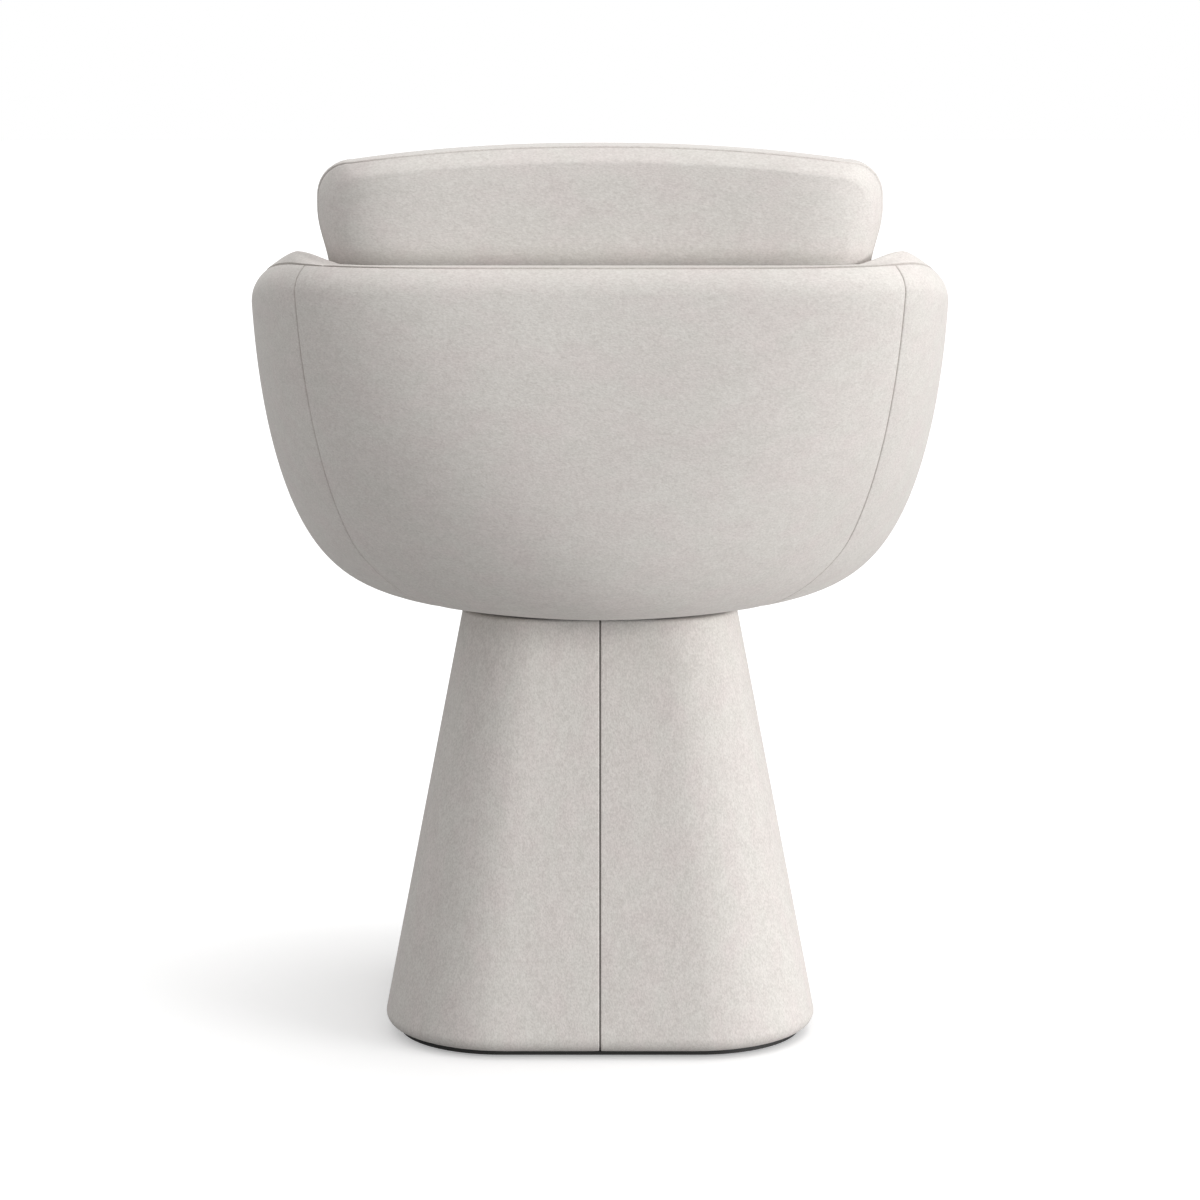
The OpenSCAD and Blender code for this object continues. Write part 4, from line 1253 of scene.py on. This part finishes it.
@dataclass
class BackCushion:
    """The thick loose back cushion, sewn round its rear and front edges."""

    form: TubForm
    fabric: bpy.types.Material
    stuffing: Stuffing = field(default_factory=Stuffing)
    fold: SeamFold = field(default_factory=lambda: SeamFold(1.3 * MM, 0.4 * MM, 6.0 * MM, 2.5 * MM))
    bottom_z: float = 492.6
    height: float = 307.0
    thickness: float = 92.0
    wide_share: float = 0.65
    side_swell: float = 10.5
    swell_z: float = 689.7
    swell_height: float = 55.0
    side_clear: float = 0.3
    corner_r: float = 30.0
    low_corner_r: float = 16.0
    arch: float = 14.0
    arch_half: float = 210.45
    arch_power: float = 2.2
    still_depth: float = 44.0
    band_height: float = 15.5
    band_turn: float = 12.5
    band_depth: float = 11.5
    band_weight: float = 1.8
    seam_inset: float = 0.9
    tuck_depth: float = 6.0
    tuck_height: float = 18.0
    tuck_reach: float = 40.0
    rim_z: float = 697.0
    face_rings: int = 24
    side_rings: int = 10
    front_r: float = 24.0
    crown: float = 12.0
    corner_gap: float = 3.0
    back_gap: float = 1.4
    columns: int = 260

    @property
    def top_z(self) -> float:
        """Height of the cushion's top at its middle."""
        return self.bottom_z + self.height

    @property
    def mid_z(self) -> float:
        """Height of the cushion's middle."""
        return self.bottom_z + self.height / 2.0

    @property
    def rear(self) -> float:
        """Distance of the rear face's middle from the swivel axis."""
        return float(self.form.hollow_back(self.mid_z)) - self.back_gap

    def reach(self, z: Grid | float) -> Grid:
        """Return half of the width that the cushion has room for at a height."""
        swell = self.side_swell * ease((z - self.swell_z) / self.swell_height)
        return self.form.hollow_half_w(z) - self.corner_gap + swell

    def half_width(self, z: Grid | float) -> Grid:
        """Return half of the cushion's width.

        Args:
            z: Heights.

        Returns:
            The half width at each of them.
        """
        power = self.form.hollow_power(self.form.depth_at(z), 0.0)
        at = 1.0 - self.wide_share * self.thickness / self.form.hollow_back(z)
        return self.reach(z) * (1.0 - at**power) ** (1.0 / power) - self.side_clear

    def arch_z(self, x: Grid | float) -> Grid:
        """Return the height of the top edge at a distance from the middle."""
        return self.top_z - self.arch * (np.abs(x) / self.arch_half) ** self.arch_power

    def outline(self) -> Grid:
        """Return the cushion's outline, from the middle of its lower edge.

        Returns:
            Evenly spaced points in x and z.
        """
        low = float(self.half_width(self.bottom_z + self.low_corner_r))
        high = float(self.half_width(self.top_z - self.corner_r - self.arch))
        corner_x = high - self.corner_r
        corner_z = float(self.arch_z(corner_x)) - self.corner_r
        r = self.low_corner_r
        turn = np.linspace(0.0, 90.0, 12)
        bottom = [(x, self.bottom_z) for x in np.linspace(0.0, low - r, 20)]
        corner = [(low - r + r * sine(a), self.bottom_z + r * (1.0 - cosine(a))) for a in turn[1:-1]]
        heights = np.linspace(self.bottom_z + r, corner_z, 60)
        side = list(zip(self.half_width(heights), heights))
        shoulder = [
            (corner_x + self.corner_r * cosine(a), corner_z + self.corner_r * sine(a))
            for a in np.linspace(6.0, 84.0, 16)
        ]
        top = [(x, float(self.arch_z(x))) for x in np.linspace(corner_x, 0.0, 40)]
        half = np.array([*bottom, *corner, *side, *shoulder, *top])
        left = half[-2:0:-1] * np.array([-1.0, 1.0])
        loop = np.concatenate([half, left, half[:1]])
        steps = np.concatenate([[0.0], np.cumsum(np.linalg.norm(np.diff(loop, axis=0), axis=1))])
        stops = np.linspace(0.0, steps[-1], self.columns + 1)[:-1]
        return np.stack([np.interp(stops, steps, loop[:, 0]), np.interp(stops, steps, loop[:, 1])], axis=1)

    def ring(self, outline: Grid, inset: float, ahead: float, top_ahead: float = 0.0) -> Grid:
        """Return one ring across the cushion.

        Args:
            outline: The outline in x and z.
            inset: Distance inside the outline.
            ahead: Distance in front of the rear face.
            top_ahead: Distance in front of the tub's rounded corner, where the outline runs over the top.

        Returns:
            Points in metres.
        """
        form = self.form
        x = outline[:, 0] * (1.0 - inset / float(self.half_width(self.top_z)))
        z = self.mid_z + (outline[:, 1] - self.mid_z) * (1.0 - 2.0 * inset / self.height)
        power = form.hollow_power(form.depth_at(z), 0.0)
        across = np.minimum(0.999, np.abs(x) / self.reach(z))
        rear = form.hollow_back(z) - self.back_gap
        limit = (rear + self.back_gap) * (1.0 - across**power) ** (1.0 / power) - self.back_gap
        y = np.minimum(limit - top_ahead * self.faces_up(outline), rear - ahead)
        low = 1.0 - ease((z - self.rim_z) / self.tuck_height)
        behind = ease((y - rear + self.tuck_reach) / (0.75 * self.tuck_reach))
        return np.stack([x, y - self.tuck_depth * low * behind, z], axis=1) * MM

    def faces_up(self, outline: Grid) -> Grid:
        """Return how far the outline's edge faces upwards.

        Args:
            outline: The outline in x and z.

        Returns:
            From 0 to 1 for each of its points.
        """
        along = np.roll(outline, -1, axis=0) - np.roll(outline, 1, axis=0)
        up = -along[:, 0] / np.linalg.norm(along, axis=1)
        return ease(up / 0.8)

    def rear_band(self) -> Grid:
        """Return the profile of the sloping band between the rear face and the seam, and a bit past it.

        Returns:
            Rows of depth and inset.
        """
        share = np.array([0.0, 0.1, 0.2, 0.3, 0.4, 0.48, 0.56, 0.64, 0.72, 0.8, 0.86, 0.91, 0.95, 0.975, 1.0])
        middle = 2.0 * self.band_weight * share * (1.0 - share)
        pull = np.stack([(1.0 - share) ** 2, middle, share**2], axis=1)
        start = (0.0, self.band_height)
        turn = (0.0, self.band_turn)
        end = (self.band_depth, self.seam_inset)
        band = pull @ np.array([start, turn, end]) / pull.sum(axis=1, keepdims=True)
        past = np.array([0.3, 0.7, 1.2, 1.9, 2.8])
        after = np.stack([self.band_depth + past, self.seam_inset * np.exp(-past / 1.2)], axis=1)
        return np.concatenate([band, after])

    def give(self, points: Grid) -> Grid:
        """Return how freely the fabric moves: fully on the front, and not at all where the outline shows.

        Args:
            points: Places in metres.

        Returns:
            From 0 to 1 for each of them.
        """
        still_y = self.rear - self.still_depth
        ahead = ease((still_y - points[:, 1] / MM) / (self.thickness - self.still_depth))
        above = ease((points[:, 2] / MM - self.bottom_z - 10.0) / 40.0)
        return ahead * above

    def front_angles(self) -> Grid:
        """Return the angles of the rings round the front edge, close together at the seam in its middle."""
        near = np.array([0.0, 1.2, 2.6, 4.5, 7.0, 12.0])
        return np.unique(np.concatenate([[0, 10, 20, 66, 78, 90], 45 - near, 45 + near]))[::-1]

    def rings(self) -> list[Grid]:
        """Return the cushion's rings, from the middle of its rear face round to the middle of its front.

        Returns:
            Points of each ring, in metres.
        """
        outline = self.outline()
        half_h = self.height / 2.0
        shares = np.linspace(0.05, 0.82, self.face_rings)
        rings = [self.ring(outline, (1.0 - share) * half_h, 0.0) for share in shares]
        rings += [self.ring(outline, inset, 1.0 + ahead, ahead) for ahead, inset in self.rear_band()]
        behind = rings[-1]
        front_start = self.ring(outline, 0.0, self.thickness - self.front_r)
        shares = np.linspace(0.0, 1.0, self.side_rings + 2)[1:-1]
        rings += [mix(behind, front_start, share) for share in shares]
        for angle in self.front_angles():
            inset = self.front_r * (1.0 - sine(angle))
            rings.append(self.ring(outline, inset, self.thickness - self.front_r * (1.0 - cosine(angle))))
        edge = 1.0 - self.front_r / half_h
        for share in np.linspace(edge - 0.03, 0.05, 22):
            crown = self.crown * (1.0 - (share / edge) ** 2)
            rings.append(self.ring(outline, (1.0 - share) * half_h, self.thickness + crown))
        return rings

    def seams(self) -> list[int]:
        """Return the numbers of the two sewn rings, at the rear and at the front.

        Returns:
            The numbers, counted from the first ring.
        """
        depths = self.rear_band()[:, 0]
        rear_seam = self.face_rings + int(np.argmin(np.abs(depths - self.band_depth)))
        first_front = self.face_rings + len(depths) + self.side_rings
        return [rear_seam, first_front + int(np.argmin(np.abs(self.front_angles() - 45)))]

    def make(self) -> bpy.types.Object:
        """Make the cushion and put it in place of its node.

        Returns:
            The new object.
        """
        low = (0.0, self.rear * MM, self.mid_z * MM)
        high = (0.0, (self.rear - self.thickness - self.crown) * MM, self.mid_z * MM)
        loft = RingLoft("back_cushion_fabric", np.array(self.rings()), low, high)
        piece = loft.make()
        self.stuffing.swell(piece, self.give)
        loft.sew(piece, self.seams(), self.fold)
        dress(piece, self.fabric)
        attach(piece, "tub")
        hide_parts("back_cushion")
        return piece


@dataclass
class PedestalWrap:
    """The fabric stretched round the foam of the tapered pedestal, sewn down the back."""

    fabric: bpy.types.Material
    fold: SeamFold = field(default_factory=lambda: SeamFold(0.9 * MM, 0.15 * MM, 5.0 * MM))
    height: float = 381.0
    top_half: float = 122.6
    foot_half: float = 193.0
    corner_share: float = 0.55
    foot_r: float = 12.0
    top_edge_r: float = 3.5
    hem_z: float = 6.0
    hem_w: float = 24.0
    thickness: float = 1.6
    seam_w: float = 1.2
    turned_w: float = 16.3

    @property
    def centre_r(self) -> float:
        """Distance of the foot rounding's centre line from the axis."""
        return self.foot_half - self.foot_r

    @property
    def centre_z(self) -> float:
        """Height of the foot rounding's centre line."""
        return self.hem_z + self.foot_r

    @property
    def lean(self) -> float:
        """Angle by which the sides lean inwards, in degrees."""
        return math.degrees(math.atan((self.foot_half - self.top_half) / (self.height - self.centre_z)))

    def side_r(self, z: float, depth: float) -> float:
        """Return the distance of the sloping side from the axis."""
        rise = (z - self.centre_z) * sine(self.lean)
        return self.centre_r + (self.foot_r - depth - rise) / cosine(self.lean)

    def profile(self, depth: float) -> list[tuple[float, float]]:
        """Return the wrap's profile, from the hem up and over the top edge.

        Args:
            depth: Depth under the outside.

        Returns:
            Rows of half width and height.
        """
        top_z = self.height - self.top_edge_r
        rows = [(self.centre_r - self.hem_w * share, self.hem_z + depth) for share in (1.0, 0.5)]
        for angle in np.linspace(-90.0, self.lean, 16):
            reach = self.foot_r - depth
            rows.append((self.centre_r + reach * cosine(angle), self.centre_z + reach * sine(angle)))
        for share in np.linspace(0.0, 1.0, 40)[1:]:
            z = mix(self.centre_z, top_z, share)
            rows.append((self.side_r(z, depth), z))
        edge_r = self.side_r(top_z, 0.0) - self.top_edge_r
        for angle in np.linspace(0.0, 90.0, 8)[1:]:
            reach = self.top_edge_r - depth
            rows.append((edge_r + reach * cosine(angle), top_z + reach * sine(angle)))
        rows.append((self.side_r(self.height, 0.0) - self.turned_w, self.height - depth))
        return rows

    def plan(self, half: float, r: float) -> list[tuple[float, float]]:
        """Return the plan, from one side of the back seam round to the other.

        Args:
            half: Half of the width.
            r: Radius of the corners.

        Returns:
            Points in x and y.
        """
        gap = self.seam_w / 2.0
        near = np.array([0.0, 0.25, 0.55, 0.9, 1.6, 3.0, 6.0, 12.0, 24.0]) + gap
        straight = half - r
        right = [(x, half) for x in near] + [(x, half) for x in np.linspace(32.0, straight, 6)[:-1]]
        for corner in range(4):
            cx = straight if corner in (0, 1) else -straight
            cy = straight if corner in (0, 3) else -straight
            for angle in 90.0 - 90.0 * corner - np.linspace(0.0, 90.0, 25):
                right.append((cx + r * cosine(angle), cy + r * sine(angle)))
            if corner < 3:
                start, end = right[-1], self._next_start(corner, half, straight)
                right += [tuple(mix(np.array(start), np.array(end), k / 6.0)) for k in range(1, 6)]
        left = [(-x, y) for x, y in right[: len(near) + 5]][::-1]
        return right + left

    @staticmethod
    def _next_start(corner: int, half: float, straight: float) -> tuple[float, float]:
        """Return where the straight side after a corner ends."""
        return ((half, -straight), (-straight, -half), (-half, straight))[corner]

    def grid(self, depth: float) -> Grid:
        """Return the wrap's points.

        Args:
            depth: Depth under the outside.

        Returns:
            Points in metres.
        """
        rows = []
        for half, z in self.profile(depth):
            r = max(1.0, (half + depth) * self.corner_share - depth)
            rows.append([(x, y, z) for x, y in self.plan(half, r)])
        return np.array(rows).transpose(1, 0, 2) * MM

    def make(self) -> bpy.types.Object:
        """Make the wrap and put it in place of its node.

        Returns:
            The new object.
        """
        front = self.fold.fold_in(self.grid(0.0), True, [(0, False), (0, True)])
        piece = closed_piece("pedestal_cover_fabric", front, self.grid(self.thickness))
        dress(piece, self.fabric)
        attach(piece, "pedestal")
        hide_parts("pedestal_cover")
        return piece


@dataclass
class DustCloth:
    """The thin black cloth stapled under the tub, round the mount board."""

    cloth: bpy.types.Material
    steel: bpy.types.Material
    outer_r: float = 136.0
    inner_r: float = 100.6
    top_z: float = 383.4
    thickness: float = 0.7
    pucker_depth: float = 0.35
    staples: int = 28
    staple_r: float = 131.0
    staple_w: float = 9.0
    wire_r: float = 0.35
    wire_bevel: float = 0.12

    def make(self) -> bpy.types.Object:
        """Make the cloth, which puckers a little between its staples, and put it in place of its node.

        Returns:
            The new object.
        """
        angles = np.linspace(0.0, 360.0, 168, endpoint=False)[:, None]
        shares = np.linspace(0.0, 1.0, 9)[None, :]
        radius = mix(self.inner_r, self.outer_r, shares)
        pucker = self.pucker_depth * shares**2 * (1.0 - cosine(angles * self.staples)) / 2.0
        x = radius * sine(angles)
        y = radius * cosine(angles)
        low = self.top_z - self.thickness - pucker
        under = np.stack(np.broadcast_arrays(x, y, low), axis=-1) * MM
        over = np.stack(np.broadcast_arrays(x, y, low + self.thickness * 0.8), axis=-1) * MM
        piece = closed_piece("dust_cover_cloth", under, over, ring=True)
        dress(piece, self.cloth)
        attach(piece, "tub")
        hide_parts("dust_cover")
        return piece

    def staple(self) -> bpy.types.Object:
        """Model one staple's crown at the origin.

        Returns:
            The new object.
        """
        bpy.ops.object.select_all(action="DESELECT")
        bpy.ops.mesh.primitive_cylinder_add(
            vertices=8,
            radius=self.wire_r * MM,
            depth=self.staple_w * MM,
            rotation=(0.0, math.pi / 2.0, 0.0),
        )
        piece = bpy.context.object
        bpy.ops.object.transform_apply(location=False, rotation=True, scale=False)
        bpy.ops.object.mode_set(mode="EDIT")
        bpy.ops.mesh.select_all(action="SELECT")
        bpy.ops.mesh.bevel(offset=self.wire_bevel * MM, segments=2)
        bpy.ops.object.mode_set(mode="OBJECT")
        return piece

    def turned(self, shape: Grid, angle: float) -> Grid:
        """Return a staple's points at its place round the cloth.

        Args:
            shape: Its points at the origin.
            angle: Angle round the swivel axis, from the back.

        Returns:
            Points in metres.
        """
        s, c = sine(angle), cosine(angle)
        turn = np.array([[c, s, 0.0], [-s, c, 0.0], [0.0, 0.0, 1.0]])
        z = self.top_z - self.thickness - self.wire_r - 0.1
        return shape @ turn.T + np.array([s * self.staple_r, c * self.staple_r, z]) * MM

    def fasten(self) -> bpy.types.Object:
        """Model one staple's crown, copy it round the cloth and join the copies.

        Returns:
            The joined object.
        """
        first = self.staple()
        shape = points_of(first)
        copies = [first]
        for number in range(1, self.staples):
            copy = first.copy()
            copy.data = first.data.copy()
            bpy.context.scene.collection.objects.link(copy)
            copies.append(copy)
        for number, copy in enumerate(copies):
            angle = 360.0 * (number + 0.5) / self.staples
            put_points(copy, self.turned(shape, angle))
        bpy.ops.object.select_all(action="DESELECT")
        for copy in copies:
            copy.select_set(True)
        bpy.context.view_layer.objects.active = first
        bpy.ops.object.join()
        first.name = "dust_cover_staples"
        smooth(first)
        dress(first, self.steel)
        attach(first, "tub")
        return first


@dataclass
class InnerPieces:
    """The rigid pieces that keep their CAD shape and get their finishes here."""

    slots: dict[str, bpy.types.Material]

    def make(self) -> int:
        """Dress every CAD node that still shows.

        Returns:
            How many there are.
        """
        count = 0
        for row in frame["record"]["subparts"]:
            node = frame["nodes"][row["node"]]
            if node.hide_render:
                continue
            material = self.slots[row["material_slot"]]
            if node.data.materials:
                for number in range(len(node.data.materials)):
                    node.data.materials[number] = material
            else:
                node.data.materials.append(material)
            count += 1
        return count


@dataclass(frozen=True)
class FarLamp:
    """A lamp so far away that its light comes from one direction, as wide as an angle in degrees."""

    name: str
    strength: float
    angle: float
    source: tuple[float, float, float]

    def make(self) -> None:
        """Add the lamp."""
        data = bpy.data.lights.new(self.name, "SUN")
        data.energy = self.strength
        data.angle = math.radians(self.angle)
        lamp = bpy.data.objects.new(self.name, data)
        lamp.rotation_euler = Vector(self.source).to_track_quat("Z", "Y").to_euler()
        bpy.context.scene.collection.objects.link(lamp)


@dataclass
class Studio:
    """Floor, lamps, surroundings and the camera at the photograph's place."""

    camera_y: float = 3.2
    camera_z: float = 0.92
    camera_tilt: float = 9.62
    lens: float = 106.65
    ambient: float = 0.655
    lamps: tuple[FarLamp, ...] = (
        FarLamp("key", 3.65, 40.0, (-0.9, 0.43, 0.05)),
        FarLamp("top", 0.97, 40.0, (-0.16, -0.04, 0.98)),
    )

    def camera(self) -> None:
        """Make the camera."""
        data = bpy.data.cameras.new("camera")
        data.lens = self.lens
        data.sensor_width = 36.0
        data.clip_end = 100.0
        camera = bpy.data.objects.new("camera", data)
        camera.location = (0.0, self.camera_y, self.camera_z)
        camera.rotation_euler = (math.radians(90.0 - self.camera_tilt), 0.0, math.pi)
        bpy.context.scene.collection.objects.link(camera)
        bpy.context.scene.camera = camera

    def floor(self) -> None:
        """Lay the floor."""
        bpy.ops.object.select_all(action="DESELECT")
        bpy.ops.mesh.primitive_plane_add(size=40.0, location=(0.0, 0.0, 0.0))
        floor = bpy.context.object
        floor.name = "studio_floor"
        floor.data.materials.append(PaleFloor().build())

    def surroundings(self) -> None:
        """Light the scene evenly all round, and show the camera white."""
        world = bpy.data.worlds.new("studio")
        bpy.context.scene.world = world
        world.use_nodes = True
        nodes, links = world.node_tree.nodes, world.node_tree.links
        light = nodes["Background"]
        light.inputs["Color"].default_value = (1.0, 1.0, 1.0, 1.0)
        light.inputs["Strength"].default_value = self.ambient
        white = nodes.new("ShaderNodeBackground")
        white.inputs["Color"].default_value = (1.0, 1.0, 1.0, 1.0)
        path = nodes.new("ShaderNodeLightPath")
        blend = nodes.new("ShaderNodeMixShader")
        links.new(path.outputs["Is Camera Ray"], blend.inputs[0])
        links.new(light.outputs[0], blend.inputs[1])
        links.new(white.outputs[0], blend.inputs[2])
        links.new(blend.outputs[0], nodes["World Output"].inputs["Surface"])

    def make(self) -> None:
        """Set up the studio."""
        self.camera()
        self.floor()
        for lamp in self.lamps:
            lamp.make()
        self.surroundings()
        bpy.context.scene.view_settings.view_transform = "Standard"


def finishes() -> dict[str, bpy.types.Material]:
    """Make the finish of every material slot in the record.

    Returns:
        The material of each slot, by the slot's name.
    """
    zinc = FineGrain("zinc_steel", (0.66, 0.67, 0.69), (0.50, 0.51, 0.53), 0.25, 0.45, 500.0, metallic=1.0)
    iron = FineGrain(
        "cast_iron", (0.20, 0.20, 0.21), (0.10, 0.10, 0.10), 0.5, 0.8, 350.0, metallic=0.8, strength=0.5
    )
    cloth = FineGrain("black_dust_cloth", (0.03, 0.03, 0.03), (0.012, 0.012, 0.012), 0.85, 1.0, 1400.0)
    paint = FineGrain("black_paint", (0.03, 0.029, 0.028), (0.018, 0.017, 0.017), 0.5, 0.7, 240.0)
    glide = FineGrain("black_nylon", (0.03, 0.03, 0.03), (0.02, 0.02, 0.02), 0.35, 0.5, 700.0)
    cage = FineGrain("white_nylon", (0.75, 0.73, 0.68), (0.66, 0.64, 0.59), 0.35, 0.5, 700.0)
    # Dark grey foam: partly the foam's own grey and partly painted shade, so that the seam gaps in the
    # pedestal's wrap read dark where the foam shows through them.
    foam = FineGrain("grey_foam_darkened_for_seam_shade", (0.16, 0.155, 0.15), (0.09, 0.085, 0.08), 0.9, 1.0, 900.0)
    return {
        "upholstery": NappedFabric("greige_nap").build(),
        "foam": foam.build(),
        "dust_cloth": cloth.build(),
        "plywood": BirchPly("birch_ply").build(),
        "steel": zinc.build(),
        "ballast_iron": iron.build(),
        "black_plinth": paint.build(),
        "black_nylon": glide.build(),
        "cage_nylon": cage.build(),
    }


def main() -> None:
    """Build and dress the chair, piece by piece."""
    logging.basicConfig(level=logging.INFO, format="%(message)s")
    Studio().make()
    slots = finishes()
    upright_nap = NappedFabric("greige_nap_upright", nap_stretch=(1.0, 1.0, 0.6), contrast=4.2).build()
    form = TubForm()
    for piece in OuterCovers(form, slots["upholstery"]).make():
        LOG.info("%s: %d faces", piece.name, len(piece.data.polygons))
    for piece in InnerPads(form, slots["upholstery"]).make():
        LOG.info("%s: %d faces", piece.name, len(piece.data.polygons))
    dust = DustCloth(slots["dust_cloth"], slots["steel"])
    for piece in (
        SeatCushion(form, slots["upholstery"]).make(),
        BackCushion(form, slots["upholstery"]).make(),
        PedestalWrap(upright_nap).make(),
        dust.make(),
        dust.fasten(),
    ):
        LOG.info("%s: %d faces", piece.name, len(piece.data.polygons))
    LOG.info("%d inner pieces dressed", InnerPieces(slots).make())


if __name__ == "__main__":
    main()
